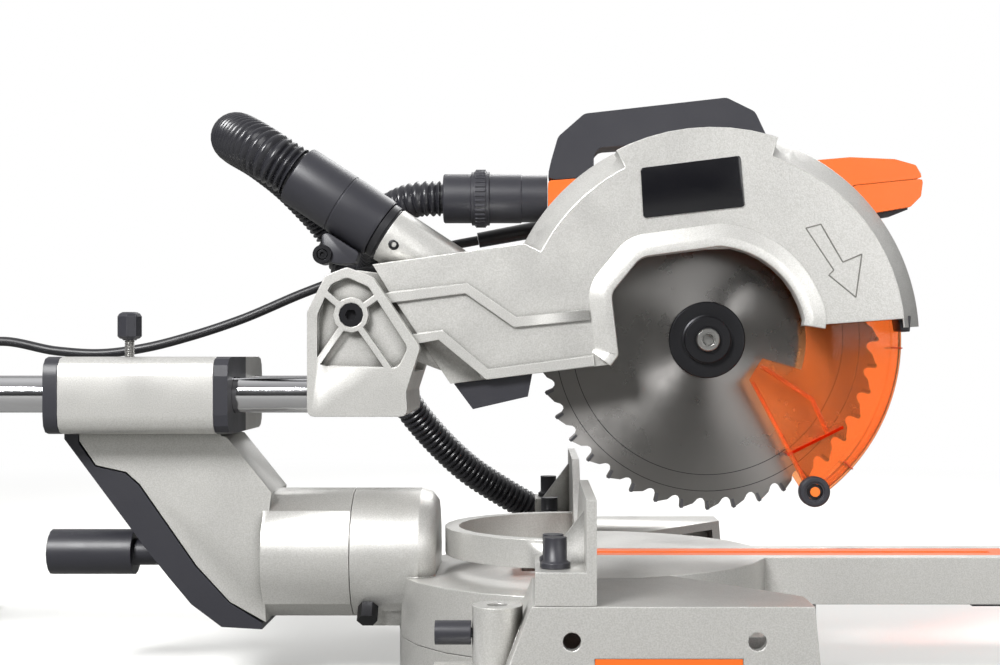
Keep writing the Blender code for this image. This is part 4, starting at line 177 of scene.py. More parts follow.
def makeAmber():
    """Clear tinted polycarbonate, a little scuffed by dust."""
    material = bpy.data.materials.new("amberPolycarbonate")
    material.use_nodes = True
    material.node_tree.nodes.clear()
    place = addNode(material, "TexCoord").outputs["Object"]
    scuff = addNode(material, "TexNoise", {"Vector": place, "Scale": 1 / (3 * mm), "Detail": 6})
    rough = addNode(material, "MapRange", {
        "Value": scuff.outputs["Fac"], "From Min": 0.4, "From Max": 0.8, "To Min": 0.06, "To Max": 0.28})
    tint = addNode(material, "Mix", {
        0: scuff.outputs["Fac"], 6: colour("FFB47C"), 7: colour("F8A468")}, data_type="RGBA")
    easing = addNode(material, "Bevel", {"Radius": 0.5 * mm}, samples=4)
    shader = addNode(material, "BsdfPrincipled", {
        "Base Color": tint.outputs[2], "Roughness": rough.outputs[0], "IOR": 1.25,
        "Transmission Weight": 0.94, "Normal": easing.outputs[0]})
    clear = addNode(material, "BsdfTransparent", {"Color": colour("FFBE8A")})
    shadow = addNode(material, "LightPath")
    blend = addNode(material, "MixShader", {
        0: shadow.outputs["Is Shadow Ray"], 1: shader.outputs[0], 2: clear.outputs[0]})
    addNode(material, "OutputMaterial", {"Surface": blend.outputs[0]})
    return material


materials["amberPolycarbonate"] = makeAmber()
materials["amberDeep"] = makeFinish("amberDeep", {**plain, "colour": "B8330E", "mottle": "A82C0A",
    "worn": "D95A24", "roughness": 0.2, "grainDepth": 0.004 * mm, "coat": 0.5})
print("materials made", len(materials))


def asPiece(name, mesh, material, body, replaces=(), sharp=32):
    """Turns a bmesh into a finished piece that rides a body."""
    bmesh.ops.recalc_face_normals(mesh, faces=mesh.faces)
    data = bpy.data.meshes.new(name)
    mesh.to_mesh(data)
    mesh.free()
    data.polygons.foreach_set("use_smooth", [True] * len(data.polygons))
    data.set_sharp_from_angle(angle=math.radians(sharp))
    data.materials.append(materials[material])
    made = bpy.data.objects.new(name, data)
    bpy.context.collection.objects.link(made)
    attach(made, body)
    if replaces:
        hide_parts(*replaces)
    return made


def sized(pairs):
    """Pairs of millimetres as metres."""
    return [(first * mm, second * mm) for first, second in pairs]


def spun(profile, centre, direction, steps=64, mesh=None):
    """A turned shape; the profile gives (radius, distance along the direction)."""
    mesh = mesh or bmesh.new()
    turn = Vector((0, 0, 1)).rotation_difference(Vector(direction)).to_matrix().to_4x4()
    move = Matrix.Translation(centre) @ turn
    points = [mesh.verts.new(move @ Vector((max(r, 0), 0, z))) for r, z in profile]
    lines = [mesh.edges.new((a, b)) for a, b in zip(points, points[1:])]
    bmesh.ops.spin(mesh, geom=points + lines, cent=centre, axis=direction, angle=2 * math.pi,
                   steps=steps, use_merge=True, use_duplicate=False)
    bmesh.ops.remove_doubles(mesh, verts=mesh.verts, dist=0.002 * mm)
    return mesh


def plate(outline, near, far, edge=0.0, mesh=None, steps=2):
    """A flat shape in the blade's plane between two depths, with its long edges rounded."""
    own = bmesh.new()
    rim = [own.verts.new((x, near, z)) for x, z in outline]
    face = own.faces.new(rim)
    grown = bmesh.ops.extrude_face_region(own, geom=[face])
    moved = [g for g in grown["geom"] if isinstance(g, bmesh.types.BMVert)]
    bmesh.ops.translate(own, verts=moved, vec=(0, far - near, 0))
    if edge:
        own.normal_update()
        flat = [e for e in own.edges if abs(e.verts[0].co.y - e.verts[1].co.y) < 1e-7]
        bmesh.ops.bevel(own, geom=flat, offset=edge, segments=steps, profile=0.5, affect="EDGES",
                        clamp_overlap=True, material=-1)
    if mesh is None:
        return own
    keep = bpy.data.meshes.new("part")
    own.to_mesh(keep)
    own.free()
    mesh.from_mesh(keep)
    bpy.data.meshes.remove(keep)
    return mesh


def roundCorners(points, radius, steps=5):
    """An outline with its corners rounded; radius is one length, or one for each corner."""
    result = []
    count = len(points)
    for i, point in enumerate(points):
        own = radius[i] if isinstance(radius, (list, tuple)) else radius
        here = Vector(point)
        back = Vector(points[i - 1]) - here
        forth = Vector(points[(i + 1) % count]) - here
        reach = min(own, back.length * 0.49, forth.length * 0.49)
        if reach < 0.05 * mm:
            result.append(tuple(here))
            continue
        first = here + back.normalized() * reach
        last = here + forth.normalized() * reach
        for k in range(steps + 1):
            t = k / steps
            result.append(tuple(first * (1 - t) ** 2 + here * 2 * t * (1 - t) + last * t ** 2))
    return result


def smoothRoute(points, step):
    """Points at an even step on a smooth curve through the given ones."""
    points = np.array([tuple(p) for p in points])
    chords = np.linalg.norm(np.diff(points, axis=0), axis=1)[:, None]
    slopes = np.diff(points, axis=0) / chords
    inner = (slopes[:-1] * chords[1:] + slopes[1:] * chords[:-1]) / (chords[:-1] + chords[1:])
    tangents = np.vstack([slopes[:1], inner, slopes[-1:]])
    dense = []
    for i, chord in enumerate(chords[:, 0]):
        for t in np.linspace(0, 1, 40, endpoint=False):
            dense.append((2 * t**3 - 3 * t**2 + 1) * points[i] + (t**3 - 2 * t**2 + t) * chord * tangents[i]
                         + (3 * t**2 - 2 * t**3) * points[i + 1] + (t**3 - t**2) * chord * tangents[i + 1])
    dense = np.array(dense + [points[-1]])
    run = np.concatenate([[0], np.cumsum(np.linalg.norm(np.diff(dense, axis=0), axis=1))])
    count = max(2, round(run[-1] / step))
    at = np.linspace(0, run[-1], count + 1)
    return [Vector(p) for p in np.stack([np.interp(at, run, dense[:, k]) for k in range(3)], axis=1)], run[-1]


def straightEnd(place, way, reach):
    return [tuple(Vector(place) + share * reach * Vector(way)) for share in (1.0, 0.7, 0.0)]


def swept(points, radii, around=28, mesh=None):
    """A round skin along a line of points, one radius for each."""
    mesh = mesh or bmesh.new()
    side = None
    previous = None
    for i, point in enumerate(points):
        way = (points[min(i + 1, len(points) - 1)] - points[max(i - 1, 0)]).normalized()
        side = way.orthogonal().normalized() if side is None else (side - way * side.dot(way)).normalized()
        other = way.cross(side)
        ring = [mesh.verts.new(point + radii[i] * (math.cos(a) * side + math.sin(a) * other))
                for a in (2 * math.pi * k / around for k in range(around))]
        if previous:
            for k in range(around):
                mesh.faces.new((previous[k], previous[(k + 1) % around], ring[(k + 1) % around], ring[k]))
        else:
            mesh.faces.new(ring)
        previous = ring
    mesh.faces.new(previous)
    return mesh


# Photograph positions: pixels across and up turn into metres at a given depth
def seen(across, down, depth=0.0):
    far = 1.130 + depth
    return (0.07565 + (across - 535) * far / 1513, 0.238 - (down - 356) * far / 1513)


# Hoses and the cord
def corrugated(name, route, root, rib, pitch, body, node, material="hoseRubber"):
    """A hose with rounded ribs all along it but at its plain ends."""
    fineSteps = 8
    points, length = smoothRoute(route, pitch / fineSteps)
    total = len(points) - 1
    plainRun = fineSteps // 2
    radii = []
    for i in range(total + 1):
        fromEnd = min(i, total - i)
        wave = 0.5 - 0.5 * math.cos(2 * math.pi * (i % fineSteps) / fineSteps)
        radii.append(root if fromEnd < plainRun else root + (rib - root) * wave ** 0.6)
    piece = asPiece(name, swept(points, radii), material, body, [node], sharp=50)
    return piece, points, length


cuffWay = Vector((-0.836, 0, 0.548)).normalized()
cuffFoot = Vector((-0.1504 + tableMiddle, 0, 0.3329))
cuffTop = cuffFoot + 0.074 * cuffWay
junction = Vector((-0.181 + tableMiddle, 0.170, 0.286))
toDust = Vector((-0.35, 0.25, 0.90)).normalized()
toPort = Vector((0.25, -0.72, 0.65)).normalized()
toOutlet = Vector((0.194, 0.554, -0.810)).normalized()
couplingLeft = Vector((-0.1058 + tableMiddle, 0.047, 0.3603))


def fromTable(points):
    return [(x + tableMiddle, y, z) for x, y, z in points]


corrugated("dustHose", [
    *straightEnd(cuffTop + 0.6 * mm * cuffWay, cuffWay, 19.8 * mm)[::-1],
    *fromTable([(-0.2620, 0.033, 0.4050), (-0.2700, 0.084, 0.4085), (-0.2590, 0.122, 0.4020),
                (-0.2360, 0.158, 0.3820)]),
    *straightEnd(junction + 30.3 * mm * toDust, toDust, 19.8 * mm)],
    17.0 * mm, 19.8 * mm, 5.2 * mm, "head", "dust_hose")
corrugated("portHose", [
    *straightEnd(couplingLeft - 0.3 * mm * along, -along, 13.8 * mm)[::-1],
    (-0.1560 + tableMiddle, 0.072, 0.3490),
    *straightEnd(junction + 30.3 * mm * toPort, toPort, 13.8 * mm)],
    11.6 * mm, 13.8 * mm, 5.3 * mm, "head", "port_hose")
outletHose, outletPoints, outletLength = corrugated("outletHose", [
    *straightEnd(junction + 30.3 * mm * toOutlet, toOutlet, 13.8 * mm)[::-1],
    *fromTable([(-0.1514, 0.225, 0.1986), (-0.1240, 0.246, 0.1617), (-0.0948, 0.262, 0.1330),
                (-0.0629, 0.275, 0.1108), (-0.0303, 0.285, 0.0910), (0.0030, 0.292, 0.0680),
                (0.0350, 0.297, 0.0430), (0.0700, 0.298, 0.0225)]),
    *straightEnd(Vector((0.118 + tableMiddle - 0.3 * mm, 0.298, 17 * mm)), -along, 13.8 * mm)],
    11.6 * mm, 13.8 * mm, 5.3 * mm, "head", "outlet_hose")

cordRadius = 3.8 * mm
reliefStart = Vector((-0.022 + tableMiddle, 0.100, 0.343))
reliefWay = Vector((-0.983, 0, -0.183)).normalized()
coilMiddle = Vector((-0.6156 + tableMiddle, 0.195, 0))
spacing = 2.3 * cordRadius
coilPoints = []
for i in range(6 * 24 + 1):
    turn = i / 24
    layer = min(int(turn / 3), 1)
    outward = turn - 3 if layer else 3 - turn
    radius = 45 * mm - spacing + spacing * (outward - 0.5)
    climb = min(1.0, max(0.0, (turn - 3) * 2 + 0.5))
    coilPoints.append(coilMiddle + Vector((
        radius * math.cos(2 * math.pi * turn), radius * math.sin(2 * math.pi * turn),
        cordRadius * 1.1 + spacing * climb)))
coilEnd = coilPoints[-1]
leadStart = Vector((-0.5560 + tableMiddle, 0.124, 0.0750))
arrival = (leadStart - Vector((-0.5540 + tableMiddle, 0.119, 0.1250))).normalized()
coilBack = (coilPoints[0] - coilPoints[1]).normalized()
leadIn = smoothRoute([
    *straightEnd(leadStart, arrival, 2 * cordRadius)[::-1],
    *fromTable([(-0.5570, 0.134, 0.0340), (-0.5575, 0.152, 0.0085)]),
    *straightEnd(coilPoints[0], coilBack, 4 * cordRadius)], 3 * cordRadius)[0]
coilPoints += [coilEnd + k * 0.30 * 45 * mm * inward for k in range(1, 5)]
coilPoints = leadIn[:-1] + coilPoints
coilSmooth, coilLength = smoothRoute(coilPoints, 3 * mm)
cordCoil = asPiece("cordCoil", swept(coilSmooth, [cordRadius] * len(coilSmooth), 16), "moulding", "base",
                   ["cord_coil"], sharp=50)
cordRoute, cordLength = smoothRoute([
    *straightEnd(reliefStart + 60.3 * mm * reliefWay, reliefWay, 4 * cordRadius)[::-1],
    *fromTable([
        (-0.1180, 0.101, 0.3235), (-0.1500, 0.103, 0.3140), (-0.1900, 0.106, 0.3020), (-0.2230, 0.108, 0.2900),
        (-0.2770, 0.110, 0.2675), (-0.3180, 0.110, 0.2540), (-0.3530, 0.110, 0.2450), (-0.3920, 0.110, 0.2400),
        (-0.4260, 0.110, 0.2420), (-0.4740, 0.110, 0.2500), (-0.5080, 0.111, 0.2440), (-0.5340, 0.113, 0.2180),
        (-0.5480, 0.116, 0.1750), (-0.5540, 0.119, 0.1250)]),
    *straightEnd(leadStart - 0.3 * mm * arrival, -arrival, 2 * cordRadius)], 3 * mm)
powerCord = asPiece("powerCord", swept(cordRoute, [cordRadius] * len(cordRoute), 16), "moulding", "head",
                    ["power_cord"], sharp=50)
print("hoses and cord laid", round(outletLength, 3), round(cordLength + coilLength, 3))


# Pieces made anew
madeAnew = set()


def anew(name, mesh, material, body, slot, *nodes, sharp=32):
    madeAnew.update(nodes)
    return asPiece(name, mesh, material, body, nodes, sharp)


def polar(radius, degrees, centre=bladeAxis):
    turn = math.radians(degrees)
    return (centre.x + radius * math.cos(turn), centre.z + radius * math.sin(turn))


def strip(path, section, mesh=None, closed=False):
    """A bar along a path in the blade's plane; the section gives (offset to the path's left, depth)."""
    mesh = mesh or bmesh.new()
    path = [Vector(p) for p in path]
    count = len(path)
    rings = []
    for i, point in enumerate(path):
        before = path[i - 1] if i or closed else None
        after = path[(i + 1) % count] if i < count - 1 or closed else None
        ways = [(b - a).normalized() for a, b in ((before, point), (point, after))
                if a is not None and b is not None]
        normals = [Vector((-w.y, w.x)) for w in ways]
        normal = sum(normals, Vector((0, 0))).normalized()
        stretch = 1 / max(0.35, normal.dot(normals[0]))
        shift = normal * stretch
        rings.append([mesh.verts.new((point.x + shift.x * offset, depth, point.y + shift.y * offset))
                      for offset, depth in section])
    pairs = list(zip(rings, rings[1:])) + ([(rings[-1], rings[0])] if closed else [])
    size = len(section)
    for one, other in pairs:
        for k in range(size):
            mesh.faces.new((one[k], one[(k + 1) % size], other[(k + 1) % size], other[k]))
    if not closed:
        mesh.faces.new(rings[0])
        mesh.faces.new(rings[-1])
    return mesh


def makeBlade():
    blade = {"radius": 127 * mm, "teeth": 40, "half": 0.95 * mm, "bore": 15 * mm, "tipHalf": 1.35 * mm}
    pitch = 360 / blade["teeth"]
    tooth = ((0.0, 0), (4.2, 4.5), (5.6, 8.0), (6.6, 9.0), (7.6, 8.6), (8.3, 6.5), (8.55, 1.2))
    outline = [polar(blade["radius"] - drop * mm, k * pitch + turn)
               for k in range(blade["teeth"]) for turn, drop in tooth]
    mesh = bmesh.new()
    for y in (-blade["half"], blade["half"]):
        outer = [mesh.verts.new((x, y, z)) for x, z in outline]
        bore = [polar(blade["bore"], a * 360 / len(outline)) for a in range(len(outline))]
        inner = [mesh.verts.new((x, y, z)) for x, z in bore]
        for k in range(len(outline)):
            n = (k + 1) % len(outline)
            mesh.faces.new((outer[k], outer[n], inner[n], inner[k]))
        if y < 0:
            near = (outer, inner)
    for a, b in ((near[0], outer), (near[1], inner)):
        for k in range(len(outline)):
            n = (k + 1) % len(outline)
            mesh.faces.new((a[k], a[n], b[n], b[k]))
    anew("blade", mesh, "groundBlade", "blade", "blade_steel", "blade")
    tip = ((0.05, 0.02), (0.5, 1.0), (7.0, 0.65), (7.0, -0.25))
    tips = bmesh.new()
    for k in range(blade["teeth"]):
        base = k * pitch
        corners = [polar(blade["radius"] - drop * mm, base + turn) for drop, turn in tip]
        plate(corners, -blade["tipHalf"], blade["tipHalf"], mesh=tips)
    asPiece("carbideTips", tips, "carbide", "blade")
    ring = bmesh.new()
    for radius in (100.3, 112.5):
        spun(sized([(radius, 0.0), (radius, 0.09), (radius + 0.5, 0.09), (radius + 0.5, 0.0)]),
             bladeAxis - blade["half"] * inward, -inward, 128, ring)
    asPiece("bladeRings", ring, "blackedSteel", "blade")
    print("blade made")


def makeFlange():
    flange = [(13.5, 1.3), (28.5, 1.3), (28.5, 4.2), (27.7, 5.0), (21, 5.3), (18.6, 5.0), (17.4, 5.6),
              (17.4, 9.2), (16.6, 9.9), (10.2, 9.9), (10.2, 9.2), (8.6, 9.2)]
    mesh = spun(sized(flange), bladeAxis, -inward, 72)
    anew("outerFlange", mesh, "blackedSteel", "blade", "dark_steel", "outer_flange")
    bolt = bmesh.new()
    spun(sized([(8.5, 8.6), (8.5, 13.0), (7.9, 13.7), (5.4, 13.7), (5.0, 13.2)]), bladeAxis, -inward, 48, bolt)
    hexes = []
    for height in (13.2, 9.5):
        corners = [polar(4.4 * mm, 60 * k + 15) for k in range(6)]
        hexes.append([bolt.verts.new((x, -height * mm, z)) for x, z in corners])
    for k in range(6):
        bolt.faces.new((hexes[0][k], hexes[0][(k + 1) % 6], hexes[1][(k + 1) % 6], hexes[1][k]))
    bolt.faces.new(hexes[1])
    spun(sized([(5.1, 13.2), (4.3, 13.2)]), bladeAxis, -inward, 48, bolt)
    asPiece("flangeBolt", bolt, "zincSteel", "blade")


def makeLowerGuard():
    guard = {"radius": 142.6 * mm, "half": 16.5 * mm, "sheet": 2.2 * mm, "inner": 71.5 * mm, "corner": 42 * mm}
    mesh = bmesh.new()
    lead, trail = -57, 97
    rim = [polar(guard["radius"], a) for a in np.linspace(trail, lead, 90)]
    section = [(-9.0, -16.5), (-4.5, -16.5), (-2.0, -15.9), (-0.5, -14.2), (0, -12), (0, 12), (-0.5, 14.2),
               (-2.0, 15.9), (-4.5, 16.5), (-9.0, 16.5), (-9.0, 14.3), (-4.8, 14.3), (-2.9, 13.5),
               (-2.2, 11.5), (-2.2, -11.5), (-2.9, -13.5), (-4.8, -14.3), (-9.0, -14.3)]
    strip(rim, sized(section), mesh)
    join = guard["radius"] - 9.0 * mm
    near = ([polar(join, a) for a in np.linspace(lead, trail, 60)]
            + [polar(guard["inner"], a) for a in np.linspace(trail, -18, 40)]
            + [polar(guard["corner"], -19), polar(guard["corner"] * 0.97, -27), polar(guard["corner"], -45)])
    plate(near, -guard["half"], -guard["half"] + guard["sheet"], 0.5 * mm, mesh)
    far = [polar(join, a) for a in np.linspace(lead, trail, 60)]
    far += [polar(28 * mm, a) for a in np.linspace(trail, lead, 30)]
    plate(far, guard["half"] - guard["sheet"], guard["half"], 0.5 * mm, mesh)
    spun([(18.5 * mm, 0), (30.2 * mm, 0), (30.2 * mm, 2.8 * mm), (18.5 * mm, 2.8 * mm), (18.5 * mm, 0)],
         bladeAxis + 14.0 * mm * inward, inward, 64, mesh)
    leadLine = [polar(guard["corner"] + 2 * mm, -46), polar(136 * mm, -56.6)]
    strip(leadLine, sized([(0.3, -16.6), (0.3, -19.2), (2.6, -19.2), (2.6, -16.6)]), mesh)
    fold = [seen(761, 366, -0.0175), seen(812, 399, -0.0175), seen(828, 434, -0.0175)]
    strip(fold, sized([(-1.6, -16.4), (-1.2, -19.0), (1.0, -19.0), (1.8, -16.4)]), mesh)
    anew("lowerGuard", mesh, "amberPolycarbonate", "lower_guard", "amber_plastic", "lower_guard", sharp=40)
    rib = bmesh.new()
    strip([seen(787, 455, -0.015), seen(843, 427, -0.015)],
          sized([(-1.1, -16.5), (-1.1, 11.0), (1.1, 11.0), (1.1, -16.5)]), rib)
    for a in (-2.5, -42.0):
        strip([polar(134 * mm, a), polar(142.5 * mm, a)],
              sized([(-0.5, -16.75), (-0.5, 16.7), (0.5, 16.7), (0.5, -16.75)]), rib)
    asPiece("guardRibs", rib, "amberDeep", "lower_guard")
    roller = Vector((*polar(135 * mm, -55.5), 0)).xzy
    face = Vector((roller.x, -16.8 * mm, roller.z))
    tyreForm = [(7.0, 0.2), (10.0, 0.0), (11.2, 1.2), (11.2, 7.8), (10.0, 9.0), (7.6, 9.0), (7.2, 8.0),
                (5.9, 8.0), (5.9, 0.2), (7.0, 0.2)]
    tyre = spun(sized(tyreForm), face, -inward, 64)
    anew("rollerTyre", tyre, "blackNylon", "roller", "black_plastic", "guard_roller")
    hub = spun(sized([(3.2, 0.2), (5.6, 0.2), (5.6, 6.4), (3.2, 6.4), (3.2, 0.2)]), face, -inward, 48)
    asPiece("rollerHub", hub, "moulding", "roller")
    pin = spun(sized([(0, 0.0), (2.9, 0.0), (2.9, 9.2), (3.7, 9.2), (3.4, 9.9), (0, 10.1)]), face, -inward, 32)
    asPiece("rollerPin", pin, "rollerOrange", "lower_guard")
    print("lower guard made")


def makeUpperGuardDetail():
    face = -41.0
    window = [(129.9, 231.0), (135.55, 238.5), (130.35, 283.0), (151.65, 309.1), (199.05, 315.6)]
    path = roundCorners([(x * mm, z * mm) for x, z in window], [0, 2 * mm, 5 * mm, 6 * mm, 0], 5)
    path += [polar(67.0 * mm, a) for a in np.linspace(86, 12.5, 40)] + [(268.4 * mm, 260.2 * mm)]
    rim = [(-0.25, -36.0), (-0.25, -43.6), (0.4, -44.6), (6.0, -44.6), (7.0, -44.2), (16.5, face - 0.05),
           (16.5, -36.0)]
    asPiece("windowRim", strip(path, sized(rim)), "castAluminium", "head", sharp=24)
    chamfer = bmesh.new()
    for first, last in ((3.5, 71.5), (117.5, 152.5)):
        line = [polar(138.5 * mm, a) for a in np.linspace(first, last, 48)]
        strip(line, sized([(1.0, -40.6), (0.4, -41.3), (-14.2, -23.7), (-14.7, -22.4), (-14.5, -21.4),
                           (-13.0, -21.0)]), chamfer)
    asPiece("guardChamfer", chamfer, "castAluminium", "head", sharp=24)
    corners = [(640.5, 168), (740.5, 155.5), (745, 206.5), (643.5, 218)]
    plateLine = roundCorners([seen(x, y, -0.0420) for x, y in corners], 2.4 * mm, 4)
    asPiece("namePlate", plate(plateLine, (face - 1.3) * mm, (face + 0.5) * mm, 0.4 * mm),
            "glossBlackPlastic", "head")
    arrow = [(806, 228), (821, 224), (843, 262), (862, 254), (856, 297), (829, 275), (834, 270)]
    line = [seen(x, y, -0.0415) for x, y in arrow]
    ridge = sized([(-0.5, face), (-0.4, face - 0.4), (0.4, face - 0.4), (0.5, face)])
    asPiece("turningArrow", strip(roundCorners(line, 0.4 * mm, 2), ridge, closed=True), "greyCasting", "head")
    bumper = ((896.5, 316), (909, 316), (908, 332), (899, 331))
    block = roundCorners([seen(x, y, -0.03) for x, y in bumper], 1 * mm, 3)
    asPiece("guardBumper", plate(block, -0.036, -0.012, 0.8 * mm), "moulding", "head")
    screws = bmesh.new()
    for across, down in ((484.5, 374), (541.5, 367)):
        x, z = seen(across, down, -0.0435)
        phillips((x, -41.0 * mm, z), 4.0 * mm, screws)
    asPiece("chuteScrews", screws, "zincSteel", "head")
    print("upper guard detail made")


def phillips(place, radius, mesh, rise=1.9 * mm):
    """A pan-head screw with a cross recess, facing the operator's left side."""
    place = Vector(place)
    spun([(0, rise * 0.55), (radius * 0.5, rise * 0.55), (radius * 0.55, rise), (radius * 0.8, rise * 0.86),
          (radius, rise * 0.35), (radius, -0.5 * mm)], place, -inward, 32, mesh)
    for turn in (0.35, 0.35 + math.pi / 2):
        way = Vector((math.cos(turn), 0, math.sin(turn)))
        side = Vector((-math.sin(turn), 0, math.cos(turn)))
        corners = [place + a * radius * 0.62 * way + b * radius * 0.13 * side - (rise + 0.02 * mm) * inward
                   for a, b in ((-1, -1), (1, -1), (1, 1), (-1, 1))]
        low = [c + 0.9 * rise * inward for c in corners]
        top = [mesh.verts.new(c) for c in corners]
        bottom = [mesh.verts.new(c) for c in low]
        for k in range(4):
            mesh.faces.new((top[k], top[(k + 1) % 4], bottom[(k + 1) % 4], bottom[k]))


makeBlade()
makeFlange()
makeLowerGuard()
makeUpperGuardDetail()


# Cuff, band and clamp where the dust hose meets the arm
def makeCuff():
    cuff = {"radius": 23.2, "bore": 19.9, "length": 74, "seam": 34, "band": 21.6}
    profile = [(cuff["bore"], 0), (22.4, 0), (22.9, 1.0), (cuff["radius"], 3),
               (cuff["radius"], cuff["seam"] - 0.7), (22.75, cuff["seam"] - 0.4),
               (22.75, cuff["seam"] + 0.4), (cuff["radius"], cuff["seam"] + 0.7),
               (cuff["radius"] - 0.2, 71.6), (22.5, 73.4), (21.6, cuff["length"]),
               (cuff["bore"], cuff["length"]), (cuff["bore"], 0)]
    anew("exhaustCuff", spun(sized(profile), cuffFoot, cuffWay, 72), "blackNylon", "head",
         "black_plastic", "exhaust_cuff")
    band = [(18.9, -7.4), (20.2, -7.4), (20.2, -6.0), (21.4, -5.8), (cuff["band"], -5.2),
            (cuff["band"], -0.8), (21.2, -0.4), (18.9, -0.4), (18.9, -7.4)]
    asPiece("cuffBand", spun(sized(band), cuffFoot, cuffWay, 64), "moulding", "head")
    lug = [(322, 236), (328, 232.5), (360, 253), (356, 264), (338, 264.5), (325, 261)]
    lugLine = roundCorners([seen(x, y, -0.006) for x, y in lug], 2.5 * mm, 3)
    asPiece("cuffLug", plate(lugLine, -11 * mm, 7 * mm, 1.0 * mm), "blackNylon", "head")
    screws = bmesh.new()
    x, z = seen(322.5, 254.5, -0.011)
    boss = [(4.2, -17), (7.2, -16), (7.2, 1.6), (6.5, 2.4), (4.2, 2.4), (4.0, 0.6), (0, 0.6)]
    spun(sized(boss), (x, -11 * mm, z), -inward, 40, screws)
    socketScrew((x, -11.6 * mm, z), 3.6 * mm, screws)
    x, z = seen(393.8, 244.6, -0.020)
    socketScrew((x, -19.6 * mm, z), 4.0 * mm, screws)
    asPiece("cuffScrews", screws, "blackedSteel", "head")
    print("cuff made")


def socketScrew(place, radius, mesh, rise=1.6 * mm):
    """A cap screw with a hexagon socket, facing the operator's left side."""
    place = Vector(place)
    head = [(0.5 * radius, rise), (0.86 * radius, rise), (radius, 0.8 * rise), (radius, -0.8 * mm)]
    spun(head, place, -inward, 32, mesh)
    corners = [polar(0.52 * radius, 60 * k, place) for k in range(6)]
    rings = [[mesh.verts.new((x, y, z)) for x, z in corners]
             for y in (place.y - rise, place.y - 0.2 * rise)]
    for k in range(6):
        mesh.faces.new((rings[0][k], rings[0][(k + 1) % 6], rings[1][(k + 1) % 6], rings[1][k]))
    mesh.faces.new(rings[1])


# Ribbed coupling between the port hose and the handle
def makeCoupling():
    coupling = {"length": 80.3, "radius": 19.0, "ring": 22.5, "bore": 15.5, "ribs": 36}
    profile = [(coupling["bore"], 0), (18.2, 0), (coupling["radius"], 0.9), (coupling["radius"], 21.4),
               (20.8, 21.9), (20.8, 24.0), (21.6, 24.4), (21.6, 33.0), (20.8, 33.4), (20.8, 35.4),
               (coupling["radius"], 35.8), (coupling["radius"], 60), (18.3, 60.5),
               (18.3, coupling["length"]), (coupling["bore"], coupling["length"]), (coupling["bore"], 0)]
    mesh = spun(sized(profile), couplingLeft, along, 72)
    for k in range(coupling["ribs"]):
        turn = 2 * math.pi * k / coupling["ribs"]
        out = Vector((0, math.cos(turn), math.sin(turn)))
        side = Vector((0, -math.sin(turn), math.cos(turn)))
        corners = []
        for at in (25.0, 32.4):
            for reach, half in ((21.3, 0.9), (coupling["ring"], 0.55)):
                middle = couplingLeft + at * mm * along + reach * mm * out
                corners += [mesh.verts.new(middle + half * sign * mm * side) for sign in (-1, 1)]
        for face in ((0, 1, 3, 2), (4, 6, 7, 5), (2, 3, 7, 6), (0, 2, 6, 4), (1, 5, 7, 3), (0, 4, 5, 1)):
            mesh.faces.new([corners[i] for i in face])
    anew("portCoupling", mesh, "blackNylon", "head", "black_plastic", "port_coupling", sharp=40)


# Slide lock knob with its screw thread
def makeSlideKnob():
    knob = {"stem": 3.1, "thread": 3.7, "pitch": 1.5, "head": 8.8, "foot": 228.0, "top": 269.6, "neck": 250.6}
    centre = Vector((-0.327 + tableMiddle, -0.040, knob["foot"] * mm))
    reach = knob["neck"] - knob["foot"]
    threads = [(0, 0), (knob["stem"], 0)]
    for k in range(int(reach / knob["pitch"])):
        threads += [(knob["stem"], (k + 0.1) * knob["pitch"]), (knob["thread"], (k + 0.5) * knob["pitch"]),
                    (knob["stem"], (k + 0.9) * knob["pitch"])]
    threads += [(knob["stem"], reach), (0, reach)]
    stem = spun(sized(threads), centre, upward, 32)
    anew("slideKnobScrew", stem, "zincSteel", "slide_knob", "steel", "slide_lock_knob", sharp=40)
    high = knob["top"] - knob["foot"]
    wide = knob["head"]
    profile = [(0, reach - 1.4), (4.6, reach - 1.4), (5.6, reach - 0.4), (wide - 1.6, reach),
               (wide, reach + 1.6), (wide, high - 3.2), (wide - 1.2, high - 1.2), (wide - 3.4, high),
               (0, high)]
    head = spun(sized(profile), centre, upward, 8)
    asPiece("slideKnobHead", head, "blackNylon", "slide_knob", ["slide_lock_knob"], sharp=25)


makeCuff()
makeCoupling()
makeSlideKnob()


# The carried-over nodes get their finishes
nodeFinish = {
    "castAluminium": ["base_casting", "fence", "bevel_arm", "carriage_bracket", "head_casting", "gear_case",
        "turntable"],
    "blackNylon": ["clamp_knob_left", "clamp_knob_right", "mitre_lock_knob", "detent_lever", "bevel_cover",
        "housing_cap_rear", "housing_cap_front", "bevel_lock_handle", "slide_lock_knob", "fence_bolt_1",
        "fence_bolt_2", "fence_bolt_3", "fence_bolt_4", "rail_end_plate", "head_lock_pin", "motor_housing",
        "carry_handle", "dust_chute", "exhaust_cuff", "hose_junction", "port_coupling", "hose_connector",
        "trigger", "spindle_lock_button", "guard_roller"],
    "orangeAbs": ["wing_grip_left", "wing_grip_right", "kerf_plate", "front_handle", "handle_grip"],
    "amberPolycarbonate": ["lower_guard"],
    "chromedSteel": ["rail_near", "rail_far"],
    "zincSteel": ["mitre_scale", "pivot_bolt", "spindle", "armature"],
    "blackedSteel": ["stop_bolt", "pivot_shaft", "outer_flange", "return_spring"],
    "groundBlade": ["blade"],
    "moulding": ["foot_1", "foot_2", "foot_3", "foot_4", "strain_relief", "power_cord", "cord_coil", "plug"],
    "hoseRubber": ["dust_hose", "port_hose", "outlet_hose"],
}
bodyOf = {node: body for body, nodes in frame["record"]["behaviour"]["bodies"].items() for node in nodes}
replaced = {"power_cord", "cord_coil", "dust_hose", "port_hose", "outlet_hose"} | set(madeAnew)


